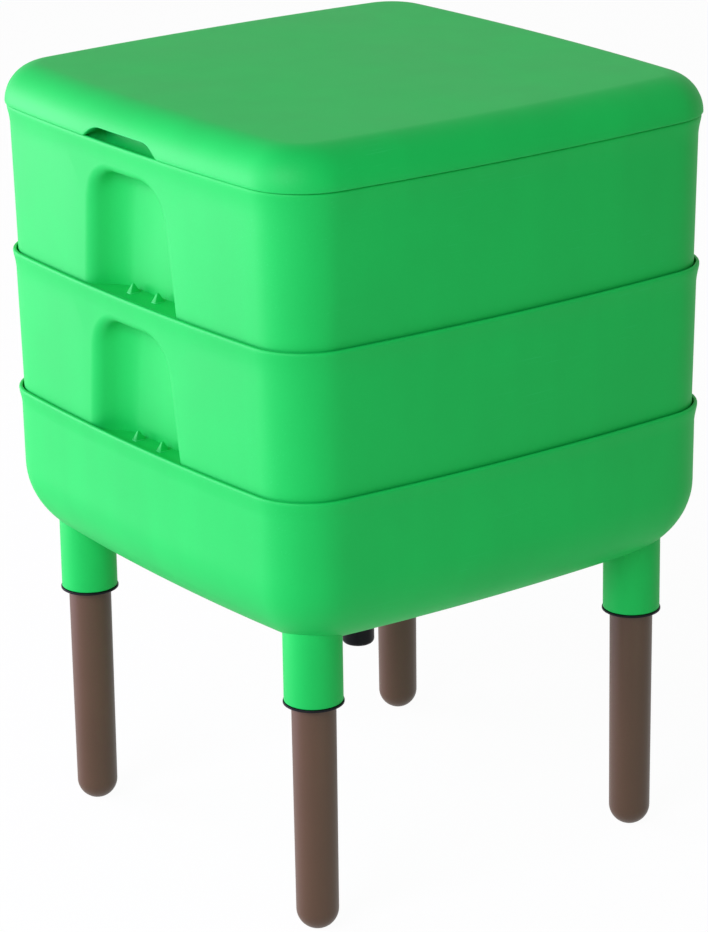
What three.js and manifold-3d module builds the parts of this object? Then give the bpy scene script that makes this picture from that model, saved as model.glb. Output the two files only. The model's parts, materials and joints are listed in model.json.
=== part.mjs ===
// A stacking wormery: a lid over two nesting trays with perforated floors, in a collector base that stands
// on four round legs and drains through a tap under its middle.
// Millimetres, +Z up. The origin is on the floor under the middle of the base, and -Y is the front.

import * as THREE from "three";
import { mergeVertices } from "three/addons/utils/BufferGeometryUtils.js";
import Module from "manifold-3d";

const wasm = await Module();
wasm.setup();

// Clearances
const FIT_GAP = 0.3; // between pieces that touch or push together
const OVERRUN = 2; // how far a cutter runs past the face that it cuts

// The plan that every tray, rim and the lid share: a square with swollen sides and round corners
const RIM_HALF = 184.5; // from the middle to a rim's outside, beside its corners
const SIDE_BOW = 4.95; // how much further out each side is at its middle
const CORNER_RADIUS = 45;
const CORNER_STEPS = 5;
const SIDE_STEPS = 4;

// Walls and rims
const WALL = 2.4;
const FLOOR = 3;
const RIM_THICKNESS = 2.5;
const BEAD_PROUD = 1.7;
const BEAD_HEIGHT = 5.2;
const MOUTH_DEPTH = 4.3; // how far down a rim's inside is wider than the wall below it
const TRAY_TAPER_SHARE = 0.021; // how much a tray's wall draws in for each unit of depth
const BASE_TAPER_SHARE = 0.012;
// A bead's section from the wall under it up: shares of how far it stands proud and of its height
const BEAD_SHARES = [
  [0, 0],
  [0.74, 0.17],
  [1, 0.5],
  [0.82, 0.83],
  [0.47, 1],
];

// Trays
const TRAY_HEIGHT = 123;
const TRAY_NESTING = 18; // how deep a tray sits in the one below it
const TRAY_BOTTOM_ROUND = 5;
const NEST_STEP = 1.6; // how far the part that nests is set in
const NEST_STEP_START = 0.4; // below the rim that it nests in
const NEST_STEP_HEIGHT = 1;
const HOLE_RADIUS = 4;
const HOLE_PITCH = 42;
const HOLE_ROWS = 7;
const HOLE_SIDES = 6;

// Hand recesses
const RECESS_DEPTH = 20.5; // from the tray's face to the recess's back
const LEDGE_DROP = 0.8; // from the rim that a tray nests in down to the ledge
const RECESS_TOP_HALF = 42;
const RECESS_FOOT_HALF = 52; // beside the ledge
const RECESS_SPLAY_SHARE = 0.8; // how much each side draws in for each unit of depth
const RECESS_CORNER = 28;
const RECESS_FACE_ROUND = 7;
const RECESS_BACK_ROUND = 5;
const RECESS_CORNER_STEPS = 4;
const LUG_OFFSET = 15; // from the middle to each pointed lug on a ledge
const LUG_CLEAR = 3; // from the recess's back to a lug's foot
const LUG_LENGTH = 8.7;
const LUG_WIDTH = 5;
const LUG_HEIGHT = 8.3;
const LUG_TIP = 1; // width of a lug's flat tip

// Collector base
const BASE_HEIGHT = 116.5;
const BASE_ROUND = 59.6; // radius of the rounding between wall and bottom
const BASE_CORNER_SHARE = 0.6; // how fast the corners tighten as the rounding draws in
const BASE_ROUND_STEPS = 6;
const TRAY_IN_BASE = 21.4; // how deep the lower tray sits below the base's rim
const SUMP_RADIUS = 35;
const SUMP_DROP = 7; // how far the sump hangs below the base's bottom

// Lid
const LID_OVERHANG = 1.5; // past the rims
const LID_HEIGHT = 27;
const LID_WALL = 3;
const LID_SEAT = 3.5; // width of the lid's edge where it sits on the rim
const LID_ROUND_STEPS = 6;
const LID_SKIRT_DROP = 8; // how far the skirt reaches into the tray
const LID_SKIRT_THICKNESS = 2.2;
const LID_SKIRT_PLAY = 2; // between the skirt and the rim's inside
const NOTCH_HALF = 45;
const NOTCH_TOP_HALF = 30.5;
const NOTCH_HEIGHT = 8.2;
const NOTCH_ROUND = 15;
const NOTCH_STEPS = 4;
const POCKET_DEPTH = 9; // how far each notch goes on inwards as a pocket, which has a floor

// Legs, sockets and collars
const LEG_SHOWN = 167.7; // from the floor to the sockets' mouths
const LEG_IN_SOCKET = 64;
const LEG_FOOT_RADIUS = 14.7;
const LEG_TOP_RADIUS = 15.5;
const LEG_WALL = 2.5;
const FOOT_FLAT_RADIUS = 4;
const SOCKET_DROP = 37.8; // from the base's bottom down to the sockets' mouths
const SOCKET_WALL = 4.4;
const SOCKET_STOP = 3; // width of the shoulder that a leg stops against
const COLLAR_THICKNESS = 1.5;
const COLLAR_PROUD = 0.7;
const FOOT_STEPS = 4;
const ROUND_SIDES = 16;
const ROUND_STEPS = 2; // facets in each small rounding
const FACE_ROUND_STEPS = 3;

// Tap
const SHANK_RADIUS = 10.2;
const TAP_BORE_RADIUS = 6.9;
const FLANGE_RADIUS = 21;
const FLANGE_THICKNESS = 4;
const SEAL_THICKNESS = 2.5;
const SEAL_WIDTH = 8;
const NUT_ACROSS = 32;
const NUT_THICKNESS = 9;
const NUT_SIDES = 6;
const SHANK_ABOVE_NUT = 5;
const NECK_RADIUS = 8.4;
const NECK_LENGTH = 45.4;
const DISC_THICKNESS = 6;
const PORT_RADIUS = 1.9;
const PORT_SIDES = 8;
const RING_WIRE_RADIUS = 0.95;
const RING_WIRE_SIDES = 6;
const RING_DEPTH = 1; // how far the O-ring's groove is cut into the neck
const RING_BELOW_FLANGE = 31;
const KNOB_WALL = 1.8;
const KNOB_DISC_THICKNESS = 4;
const KNOB_BELOW_DISC = 10.7;
const KNOB_FOOT_ROUND = 3.5;
const GRIP_RADIUS = 15.5;
const GRIP_HEIGHT = 24;
const GRIP_BELOW_FLANGE = 9;
const GRIP_CHAMFER = 2;
const FLUTE_RADIUS = 2.2;
const FLUTES = 8;
const FLUTE_SIDES = 6;
const SCREW_RADIUS = 1.5;
const SCREW_HEAD_RADIUS = 3.1;
const SCREW_HEAD_THICKNESS = 2.2;
const SCREW_SIDES = 8;
const TAP_SIDES = 20;

// Strainer
const STRAINER_HEIGHT = 30;
const STRAINER_WALL = 2;
const STRAINER_ROUND = 5;
const SLOT_WIDTH = 5;
const SLOT_HEIGHT = 14;
const SLOT_LIFT = 6; // above the strainer's foot
const SLOTS = 8;

// Heights above the floor
const baseBottom = LEG_SHOWN + SOCKET_DROP;
const baseRim = baseBottom + BASE_HEIGHT;
const lowerTrayFoot = baseRim - TRAY_IN_BASE;
const trayPitch = TRAY_HEIGHT - TRAY_NESTING;
const upperTrayFoot = lowerTrayFoot + trayPitch;
const topRim = upperTrayFoot + TRAY_HEIGHT;
const lidSeat = topRim + FIT_GAP;
const sumpBottom = baseBottom - SUMP_DROP;

// Joining and cutting

function solidOf(shape) {
  if (!shape.isBufferGeometry) return shape;
  const bare = new THREE.BufferGeometry();
  bare.setAttribute("position", shape.getAttribute("position"));
  if (shape.index) bare.setIndex(shape.index);
  const merged = mergeVertices(bare);
  return new wasm.Manifold(
    new wasm.Mesh({
      numProp: 3,
      vertProperties: merged.getAttribute("position").array,
      triVerts: new Uint32Array(merged.index.array),
    }),
  );
}

function geometryOf(shape) {
  const mesh = solidOf(shape).getMesh();
  const geometry = new THREE.BufferGeometry();
  geometry.setAttribute("position", new THREE.BufferAttribute(mesh.vertProperties, 3));
  geometry.setIndex(new THREE.BufferAttribute(mesh.triVerts, 1));
  const faceted = geometry.toNonIndexed();
  faceted.computeVertexNormals();
  return faceted;
}

const join = (shapes) => shapes.map(solidOf).reduce((whole, next) => whole.add(next));
const cut = (shape, cutters) =>
  cutters.map(solidOf).reduce((left, next) => left.subtract(next), solidOf(shape));

// Outlines

// A square with swollen sides and round corners, anticlockwise. Each side is a long arc, and each corner's
// arc touches the arcs of the two sides beside it.
function bowedSquare(half, corner) {
  const flat = half - corner;
  const sideRadius = (flat * flat + SIDE_BOW * SIDE_BOW) / (2 * SIDE_BOW);
  const behind = sideRadius - half - SIDE_BOW;
  const between = sideRadius - corner;
  const centre = (Math.sqrt(2 * between * between - behind * behind) - behind) / 2;
  const lean = Math.atan2(centre, centre + behind);
  const quarter = [];
  for (let i = 0; i < SIDE_STEPS; i++) {
    const angle = lean * ((2 * i) / SIDE_STEPS - 1);
    quarter.push([sideRadius * Math.cos(angle) - behind, sideRadius * Math.sin(angle)]);
  }
  for (let i = 0; i < CORNER_STEPS; i++) {
    const angle = lean + ((Math.PI / 2 - 2 * lean) * i) / CORNER_STEPS;
    quarter.push([centre + corner * Math.cos(angle), centre + corner * Math.sin(angle)]);
  }
  const points = [];
  for (let side = 0; side < 4; side++)
    for (const [x, y] of quarter) points.push(turnedPoint(new THREE.Vector2(x, y), (side * Math.PI) / 2));
  return points;
}

const turnedPoint = (point, angle) => point.rotateAround(new THREE.Vector2(), angle);

// The shared plan, drawn in or let out evenly from a rim's outside.
const planAt = (half) => bowedSquare(half, CORNER_RADIUS + half - RIM_HALF);

// A polygon, anticlockwise, from [x, y, radius] corners. A radius of zero leaves a corner sharp.
function roundedPolygon(corners, steps) {
  const points = [];
  corners.forEach(([x, y, radius], i) => {
    const corner = new THREE.Vector2(x, y);
    if (radius === 0) {
      points.push(corner);
      return;
    }
    const before = corners.at(i - 1);
    const after = corners[(i + 1) % corners.length];
    const back = new THREE.Vector2(before[0], before[1]).sub(corner).normalize();
    const on = new THREE.Vector2(after[0], after[1]).sub(corner).normalize();
    const halfAngle = Math.acos(back.dot(on)) / 2;
    const inward = back.clone().add(on).normalize();
    const centre = inward.multiplyScalar(radius / Math.sin(halfAngle)).add(corner);
    const start = back.multiplyScalar(radius / Math.tan(halfAngle)).add(corner);
    const sweep = Math.PI - 2 * halfAngle;
    for (let step = 0; step <= steps; step++)
      points.push(start.clone().rotateAround(centre, (sweep * step) / steps));
  });
  return points;
}

const rectangle = (left, right, low, high) =>
  [
    [left, low],
    [right, low],
    [right, high],
    [left, high],
  ].map(([x, y]) => new THREE.Vector2(x, y));

// Shapes

// A closed shape through [z, outline] levels that rise in z and have equally many points.
function loft(levels) {
  const count = levels[0][1].length;
  const positions = [];
  const index = [];
  for (const [z, outline] of levels)
    for (const point of outline) positions.push(point.x, point.y, z);
  for (let level = 0; level < levels.length - 1; level++)
    for (let i = 0; i < count; i++) {
      const here = level * count + i;
      const next = level * count + ((i + 1) % count);
      index.push(here, next, next + count, here, next + count, here + count);
    }
  const top = (levels.length - 1) * count;
  for (const [a, b, c] of THREE.ShapeUtils.triangulateShape(levels[0][1], [])) index.push(a, c, b);
  for (const [a, b, c] of THREE.ShapeUtils.triangulateShape(levels.at(-1)[1], []))
    index.push(top + a, top + b, top + c);
  const geometry = new THREE.BufferGeometry();
  geometry.setAttribute("position", new THREE.Float32BufferAttribute(positions, 3));
  geometry.setIndex(index);
  return geometry;
}

// A closed shape through [half width, z] levels of the shared plan.
const planShape = (profile) => loft(profile.map(([half, z]) => [z, planAt(half)]));

// A shape turned about the Z axis from [radius, z] points, with the material on the left of their way.
function turned(profile, sides) {
  const points = profile.map(([radius, z]) => new THREE.Vector2(radius, z));
  return new THREE.LatheGeometry(points, sides).rotateX(Math.PI / 2);
}

function round(radius, low, high, sides) {
  return turned(
    [
      [0, low],
      [radius, low],
      [radius, high],
      [0, high],
    ],
    sides,
  );
}

function ring(inner, outer, low, high, sides) {
  return turned(
    [
      [inner, low],
      [outer, low],
      [outer, high],
      [inner, high],
      [inner, low],
    ],
    sides,
  );
}

// Quarter turns of a rounding's sine and cosine, from 0 to 90 degrees.
function quarterArc(steps) {
  const arc = [];
  for (let step = 0; step <= steps; step++) {
    const angle = ((Math.PI / 2) * step) / steps;
    arc.push([Math.cos(angle), Math.sin(angle)]);
  }
  return arc;
}

// Stands a shape that was drawn lying down (x across, y up, z out) against the front, leaning out by a share.
function toFront(shape, lean = 0) {
  const leaning = new THREE.Matrix4().makeShear(0, 0, 0, lean, 0, 0);
  return shape.applyMatrix4(leaning).rotateX(Math.PI / 2);
}

const frontAndBack = (shape) => [shape, shape.clone().rotateZ(Math.PI)];

// Rims

const wallTop = RIM_HALF - BEAD_PROUD;
const rimMouth = RIM_HALF - RIM_THICKNESS;

// Outer levels of a beaded rim, from the wall under its bead up to its top.
const beadLevels = (rim) =>
  BEAD_SHARES.map(([out, up]) => [wallTop + BEAD_PROUD * out, rim - BEAD_HEIGHT * (1 - up)]);

// Inner levels of the same rim, from the wall under its bead up past its top.
function mouthLevels(rim) {
  const wallInside = wallTop - WALL;
  return [
    [wallInside, rim - MOUTH_DEPTH - (rimMouth - wallInside)],
    [rimMouth, rim - MOUTH_DEPTH],
    [rimMouth, rim + OVERRUN],
  ];
}

// Trays, from their underside up

const nestTop = TRAY_NESTING - NEST_STEP_START;
const trayWallAt = (z) => wallTop - (TRAY_HEIGHT - z) * TRAY_TAPER_SHARE;
const nestWallAt = (z) => trayWallAt(z) - NEST_STEP;
const shelf = trayPitch - FIT_GAP; // carries the tray above
const ledge = TRAY_NESTING - LEDGE_DROP;
const recessTop = shelf - WALL;
const recessFace = trayWallAt(0) + SIDE_BOW;
const recessBack = recessFace - RECESS_DEPTH;

function trayOutside() {
  const edge = nestWallAt(TRAY_BOTTOM_ROUND);
  const rounding = quarterArc(ROUND_STEPS).map(([cosine, sine]) => [
    edge - TRAY_BOTTOM_ROUND * (1 - sine),
    TRAY_BOTTOM_ROUND * (1 - cosine),
  ]);
  const stepFoot = nestTop - NEST_STEP_HEIGHT;
  return planShape([
    ...rounding,
    [nestWallAt(stepFoot), stepFoot],
    [trayWallAt(nestTop), nestTop],
    ...beadLevels(TRAY_HEIGHT),
  ]);
}

function trayInside() {
  const innerRound = TRAY_BOTTOM_ROUND - WALL;
  const edge = nestWallAt(FLOOR + innerRound) - WALL;
  const stepTop = nestTop + NEST_STEP_HEIGHT;
  return planShape([
    [edge - innerRound, FLOOR],
    [edge, FLOOR + innerRound],
    [nestWallAt(nestTop) - WALL, nestTop],
    [trayWallAt(stepTop) - WALL, stepTop],
    ...mouthLevels(TRAY_HEIGHT),
  ]);
}

const recessHalfAt = (z) =>
  RECESS_TOP_HALF + ((RECESS_FOOT_HALF - RECESS_TOP_HALF) * (recessTop - z)) / (recessTop - ledge);
const drawnInAt = (depth) => depth * RECESS_SPLAY_SHARE;

// The recess's outline, let out across and up, with its foot at the given height.
function recessOutline(across, up, foot) {
  const footHalf = recessHalfAt(foot) + across;
  const topHalf = RECESS_TOP_HALF + across;
  const top = recessTop + up;
  const corner = RECESS_CORNER + across;
  return roundedPolygon(
    [
      [-footHalf, foot, 0],
      [footHalf, foot, 0],
      [topHalf, top, corner],
      [-topHalf, top, corner],
    ],
    RECESS_CORNER_STEPS,
  );
}

// What the recess takes out of a tray: a rounded back, and a rounding where it meets the face.
function recessSpace() {
  const backRound = quarterArc(ROUND_STEPS).map(([cosine, sine]) => {
    const depth = RECESS_DEPTH - RECESS_BACK_ROUND * (1 - cosine);
    const letOut = -RECESS_BACK_ROUND * (1 - sine);
    return [recessFace - depth, recessOutline(letOut - drawnInAt(depth), letOut, ledge)];
  });
  const faceRound = quarterArc(FACE_ROUND_STEPS).map(([cosine, sine]) => {
    const depth = RECESS_FACE_ROUND * (1 - sine);
    const letOut = RECESS_FACE_ROUND * (1 - cosine);
    return [recessFace - depth, recessOutline(letOut - drawnInAt(depth), letOut, ledge)];
  });
  const outside = [recessFace + SIDE_BOW, recessOutline(RECESS_FACE_ROUND, RECESS_FACE_ROUND, ledge)];
  return toFront(loft([...backRound, ...faceRound, outside]), TRAY_TAPER_SHARE);
}

// The wall that stands round the recess inside the tray. Its flat top is the shelf for the tray above.
function recessHousing() {
  const sideWall = WALL * Math.hypot(1, RECESS_SPLAY_SHARE);
  const backDepth = RECESS_DEPTH + WALL;
  const roundDepth = backDepth - RECESS_BACK_ROUND;
  const backAcross = sideWall - RECESS_BACK_ROUND - drawnInAt(backDepth);
  return toFront(
    loft([
      [recessFace - backDepth, recessOutline(backAcross, WALL - RECESS_BACK_ROUND, 0)],
      [recessFace - roundDepth, recessOutline(sideWall - drawnInAt(roundDepth), WALL, 0)],
      [recessFace + SIDE_BOW, recessOutline(RECESS_FACE_ROUND + WALL, WALL, 0)],
    ]),
    TRAY_TAPER_SHARE,
  );
}

// The space under the ledge, open at the tray's underside.
function ledgePocket() {
  const outer = nestWallAt(0) - TRAY_BOTTOM_ROUND + SIDE_BOW - WALL;
  const levels = [recessBack, outer].map((out) => {
    const half = RECESS_FOOT_HALF - WALL - drawnInAt(recessFace - out);
    return [out, rectangle(-half, half, -OVERRUN, ledge - WALL)];
  });
  return toFront(loft(levels));
}

// A small pointed lug that stands on the ledge.
function lug(side) {
  const block = (width, length) => rectangle(-width / 2, width / 2, -length / 2, length / 2);
  const middle = recessBack + LUG_CLEAR + LUG_LENGTH / 2;
  const shape = loft([
    [ledge - WALL / 2, block(LUG_WIDTH, LUG_LENGTH)],
    [ledge + LUG_HEIGHT, block(LUG_TIP, LUG_TIP)],
  ]);
  return shape.translate(side * LUG_OFFSET, -middle, 0);
}

function floorHoles() {
  const holes = [];
  const middle = (HOLE_ROWS - 1) / 2;
  for (let row = 0; row < HOLE_ROWS; row++)
    for (let column = 0; column < HOLE_ROWS; column++) {
      const hole = round(HOLE_RADIUS, -OVERRUN, FLOOR + OVERRUN, HOLE_SIDES);
      holes.push(hole.translate((column - middle) * HOLE_PITCH, (row - middle) * HOLE_PITCH, 0));
    }
  return join(holes);
}

function tray() {
  const cavity = cut(trayInside(), frontAndBack(recessHousing()));
  const recesses = [...frontAndBack(recessSpace()), ...frontAndBack(ledgePocket())];
  const shell = cut(trayOutside(), [cavity, ...recesses, floorHoles()]);
  return join([shell, ...frontAndBack(lug(-1)), ...frontAndBack(lug(1))]);
}

// Legs, from the foot up

const legLength = LEG_SHOWN + LEG_IN_SOCKET;
const footCentre = Math.sqrt(LEG_FOOT_RADIUS ** 2 - FOOT_FLAT_RADIUS ** 2);
const legPlace = RIM_HALF - CORNER_RADIUS;
const corners = [
  ["front_left", -legPlace, -legPlace],
  ["front_right", legPlace, -legPlace],
  ["back_left", -legPlace, legPlace],
  ["back_right", legPlace, legPlace],
];

function legRadiusAt(z) {
  const share = (z - footCentre) / (legLength - footCentre);
  return LEG_FOOT_RADIUS + (LEG_TOP_RADIUS - LEG_FOOT_RADIUS) * share;
}

function leg() {
  const flatAngle = Math.asin(FOOT_FLAT_RADIUS / LEG_FOOT_RADIUS);
  const roundFoot = [];
  for (let step = 0; step <= FOOT_STEPS; step++) {
    const angle = flatAngle + ((Math.PI / 2 - flatAngle) * step) / FOOT_STEPS;
    roundFoot.push([LEG_FOOT_RADIUS * Math.sin(angle), footCentre - LEG_FOOT_RADIUS * Math.cos(angle)]);
  }
  const hollow = LEG_FOOT_RADIUS - LEG_WALL;
  const roundInside = quarterArc(ROUND_STEPS).map(([cosine, sine]) => [
    hollow * cosine,
    footCentre - hollow * sine,
  ]);
  return turned(
    [
      [0, 0],
      ...roundFoot,
      [LEG_TOP_RADIUS, legLength],
      [LEG_TOP_RADIUS - LEG_WALL, legLength],
      ...roundInside,
    ],
    ROUND_SIDES,
  );
}

// Collector base, from its bottom up

const socketBore = LEG_TOP_RADIUS + FIT_GAP;
const socketRadius = socketBore + SOCKET_WALL;
const towerTop = BASE_HEIGHT - TRAY_IN_BASE - FIT_GAP; // carries the lower tray
const baseWallAt = (z) => wallTop - (BASE_HEIGHT - z) * BASE_TAPER_SHARE;

// The rounded bottom, whose corners tighten as it draws in, set in from the outside by a wall or by nothing.
function baseRounding(wall) {
  const radius = BASE_ROUND - wall;
  const half = baseWallAt(BASE_ROUND) - wall;
  const corner = CORNER_RADIUS + half - RIM_HALF;
  const levels = quarterArc(BASE_ROUND_STEPS).map(([cosine, sine]) => {
    const drawnIn = radius * (1 - cosine);
    return [BASE_ROUND - radius * sine, bowedSquare(half - drawnIn, corner - drawnIn * BASE_CORNER_SHARE)];
  });
  return levels.reverse();
}

const baseShape = (rounding, profile) =>
  loft([...rounding, ...profile.map(([half, z]) => [z, planAt(half)])]);

function collectorBase() {
  const outside = baseShape(baseRounding(0), beadLevels(BASE_HEIGHT));
  const inside = baseShape(baseRounding(WALL), mouthLevels(BASE_HEIGHT));
  const boreTop = LEG_IN_SOCKET - SOCKET_DROP + FIT_GAP;
  const towers = [];
  const bores = [];
  for (const [, x, y] of corners) {
    towers.push(round(socketRadius, -SOCKET_DROP, towerTop, ROUND_SIDES).translate(x, y, 0));
    const bore = turned(
      [
        [0, -SOCKET_DROP - OVERRUN],
        [socketBore, -SOCKET_DROP - OVERRUN],
        [socketBore, boreTop],
        [socketBore - SOCKET_STOP, boreTop],
        [socketBore - SOCKET_STOP, towerTop - SOCKET_WALL],
        [0, towerTop - SOCKET_WALL],
      ],
      ROUND_SIDES,
    );
    bores.push(bore.translate(x, y, 0));
  }
  const sump = round(SUMP_RADIUS + WALL, -SUMP_DROP, WALL / 2, TAP_SIDES);
  const well = round(SUMP_RADIUS, FLOOR - SUMP_DROP, WALL + OVERRUN, TAP_SIDES);
  const drain = round(SHANK_RADIUS + FIT_GAP, -SUMP_DROP - OVERRUN, WALL, TAP_SIDES);
  return cut(join([cut(outside, [inside]), ...towers, sump]), [...bores, well, drain]);
}

// Collars, level with the sockets' mouths

function collar() {
  const inner = legRadiusAt(LEG_SHOWN) + FIT_GAP;
  return ring(inner, socketRadius + COLLAR_PROUD, -COLLAR_THICKNESS, 0, ROUND_SIDES);
}

// Lid, from the edge that sits on the rim up

function lid() {
  const half = RIM_HALF + LID_OVERHANG;
  const innerHalf = half - LID_SEAT;
  const innerRound = LID_HEIGHT - LID_WALL;
  const arc = quarterArc(LID_ROUND_STEPS);
  const outside = planShape(
    arc.map(([cosine, sine]) => [half - LID_HEIGHT * (1 - cosine), LID_HEIGHT * sine]),
  );
  const inside = planShape([
    [innerHalf, -OVERRUN],
    ...arc.map(([cosine, sine]) => [innerHalf - innerRound * (1 - cosine), innerRound * sine]),
  ]);
  const skirtOuter = rimMouth - LID_SKIRT_PLAY;
  const skirtInner = skirtOuter - LID_SKIRT_THICKNESS;
  const meeting = Math.acos(1 - (innerHalf - skirtInner) / innerRound);
  const skirtTop = innerRound * Math.sin(meeting);
  const skirt = cut(
    planShape([
      [skirtOuter, -LID_SKIRT_DROP],
      [skirtOuter, skirtTop],
    ]),
    [
      planShape([
        [skirtInner, -LID_SKIRT_DROP - OVERRUN],
        [skirtInner, skirtTop + OVERRUN],
      ]),
    ],
  );
  const pocketDrop = LID_SKIRT_DROP - LID_SKIRT_THICKNESS;
  const pocketBack = skirtOuter + SIDE_BOW - POCKET_DEPTH;
  const skirtMiddle = skirtOuter + SIDE_BOW - LID_SKIRT_THICKNESS / 2;
  const notch = notchShape(0, pocketDrop, pocketBack, half + SIDE_BOW + OVERRUN);
  const pocket = notchShape(
    LID_SKIRT_THICKNESS,
    LID_SKIRT_DROP,
    pocketBack - LID_SKIRT_THICKNESS,
    skirtMiddle,
  );
  const whole = join([cut(outside, [inside]), skirt, ...frontAndBack(pocket)]);
  return cut(whole, frontAndBack(notch));
}

// A notch's shape at the front, let out evenly by a margin and carried down below the lid's edge.
function notchShape(margin, drop, near, far) {
  const outline = roundedPolygon(
    [
      [-NOTCH_HALF - margin, 0, 0],
      [-NOTCH_HALF - margin, -drop, 0],
      [NOTCH_HALF + margin, -drop, 0],
      [NOTCH_HALF + margin, 0, 0],
      [NOTCH_TOP_HALF + margin, NOTCH_HEIGHT + margin, NOTCH_ROUND + margin],
      [-NOTCH_TOP_HALF - margin, NOTCH_HEIGHT + margin, NOTCH_ROUND + margin],
    ],
    NOTCH_STEPS,
  );
  return toFront(
    loft([
      [near, outline],
      [far, outline],
    ]),
  );
}

// Tap and drain, from the sump's underside, which is at height zero here

const sealInner = SHANK_RADIUS + FIT_GAP;
const gasketFoot = -FIT_GAP - SEAL_THICKNESS;
const flangeTop = gasketFoot - FIT_GAP;
const flangeBottom = flangeTop - FLANGE_THICKNESS;
const bodyBottom = flangeBottom - NECK_LENGTH;
const washerFoot = FLOOR + FIT_GAP;
const nutFoot = washerFoot + SEAL_THICKNESS + FIT_GAP;
const shankTop = nutFoot + NUT_THICKNESS + SHANK_ABOVE_NUT;
const portPlace = TAP_BORE_RADIUS - PORT_RADIUS;
const ringMiddle = flangeBottom - RING_BELOW_FLANGE;
const grooveRadius = NECK_RADIUS - RING_DEPTH;
const ringRadius = grooveRadius + FIT_GAP + RING_WIRE_RADIUS;
const knobBore = ringRadius + RING_WIRE_RADIUS + FIT_GAP;
const knobRadius = knobBore + KNOB_WALL;
const knobDiscTop = bodyBottom - FIT_GAP;
const knobDiscBottom = knobDiscTop - KNOB_DISC_THICKNESS;
const knobFoot = knobDiscBottom - KNOB_BELOW_DISC;

const seal = (low) => ring(sealInner, sealInner + SEAL_WIDTH, low, low + SEAL_THICKNESS, TAP_SIDES);

// Two ports beside the screw's hole, on the X axis.
function discHoles(low, high) {
  const holes = [-portPlace, portPlace].map((x) =>
    round(PORT_RADIUS, low, high, PORT_SIDES).translate(x, 0, 0),
  );
  return [...holes, round(SCREW_RADIUS + FIT_GAP, low, high, SCREW_SIDES)];
}

function tapBody() {
  const grooveHalf = RING_WIRE_RADIUS + FIT_GAP;
  const discTop = bodyBottom + DISC_THICKNESS;
  const body = turned(
    [
      [0, bodyBottom],
      [NECK_RADIUS, bodyBottom],
      [NECK_RADIUS, ringMiddle - grooveHalf],
      [grooveRadius, ringMiddle - grooveHalf],
      [grooveRadius, ringMiddle + grooveHalf],
      [NECK_RADIUS, ringMiddle + grooveHalf],
      [NECK_RADIUS, flangeBottom],
      [FLANGE_RADIUS, flangeBottom],
      [FLANGE_RADIUS, flangeTop],
      [SHANK_RADIUS, flangeTop],
      [SHANK_RADIUS, shankTop],
      [TAP_BORE_RADIUS, shankTop],
      [TAP_BORE_RADIUS, discTop],
      [0, discTop],
    ],
    TAP_SIDES,
  );
  return cut(body, discHoles(bodyBottom - OVERRUN, discTop + OVERRUN));
}

function tapKnob() {
  const gripTop = flangeBottom - GRIP_BELOW_FLANGE;
  const gripBottom = gripTop - GRIP_HEIGHT;
  const footRound = quarterArc(ROUND_STEPS).map(([cosine, sine]) => [
    knobRadius - KNOB_FOOT_ROUND * (1 - sine),
    knobFoot + KNOB_FOOT_ROUND * (1 - cosine),
  ]);
  const blank = turned(
    [
      [0, knobFoot],
      ...footRound,
      [knobRadius, gripBottom],
      [GRIP_RADIUS, gripBottom + GRIP_RADIUS - knobRadius],
      [GRIP_RADIUS, gripTop - GRIP_CHAMFER],
      [GRIP_RADIUS - GRIP_CHAMFER, gripTop],
      [0, gripTop],
    ],
    TAP_SIDES,
  );
  const flutes = [];
  for (let i = 0; i < FLUTES; i++) {
    const flute = round(FLUTE_RADIUS, gripBottom, gripTop + OVERRUN, FLUTE_SIDES);
    flutes.push(flute.translate(GRIP_RADIUS, 0, 0).rotateZ((2 * Math.PI * (i + 1 / 2)) / FLUTES));
  }
  const holes = discHoles(knobDiscBottom - OVERRUN, knobDiscTop + OVERRUN).map((hole) =>
    hole.rotateZ(Math.PI / 2),
  );
  return cut(blank, [
    round(knobBore, knobDiscTop, gripTop + OVERRUN, TAP_SIDES),
    round(knobRadius - KNOB_FOOT_ROUND, knobFoot - OVERRUN, knobDiscBottom, TAP_SIDES),
    ...flutes,
    ...holes,
  ]);
}

function oRing() {
  const torus = new THREE.TorusGeometry(ringRadius, RING_WIRE_RADIUS, RING_WIRE_SIDES, TAP_SIDES);
  return torus.translate(0, 0, ringMiddle);
}

function tapScrew() {
  const headTop = knobDiscBottom - FIT_GAP;
  const tip = bodyBottom + DISC_THICKNESS;
  return turned(
    [
      [0, headTop - SCREW_HEAD_THICKNESS],
      [SCREW_HEAD_RADIUS, headTop - SCREW_HEAD_THICKNESS],
      [SCREW_HEAD_RADIUS, headTop],
      [SCREW_RADIUS, headTop],
      [SCREW_RADIUS, tip - SCREW_RADIUS],
      [0, tip],
    ],
    SCREW_SIDES,
  );
}

function lockNut() {
  const cornerRadius = NUT_ACROSS / 2 / Math.cos(Math.PI / NUT_SIDES);
  const nutTop = nutFoot + NUT_THICKNESS;
  const hexagon = round(cornerRadius, nutFoot, nutTop, NUT_SIDES);
  return cut(hexagon, [round(sealInner, nutFoot - OVERRUN, nutTop + OVERRUN, TAP_SIDES)]);
}

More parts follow.
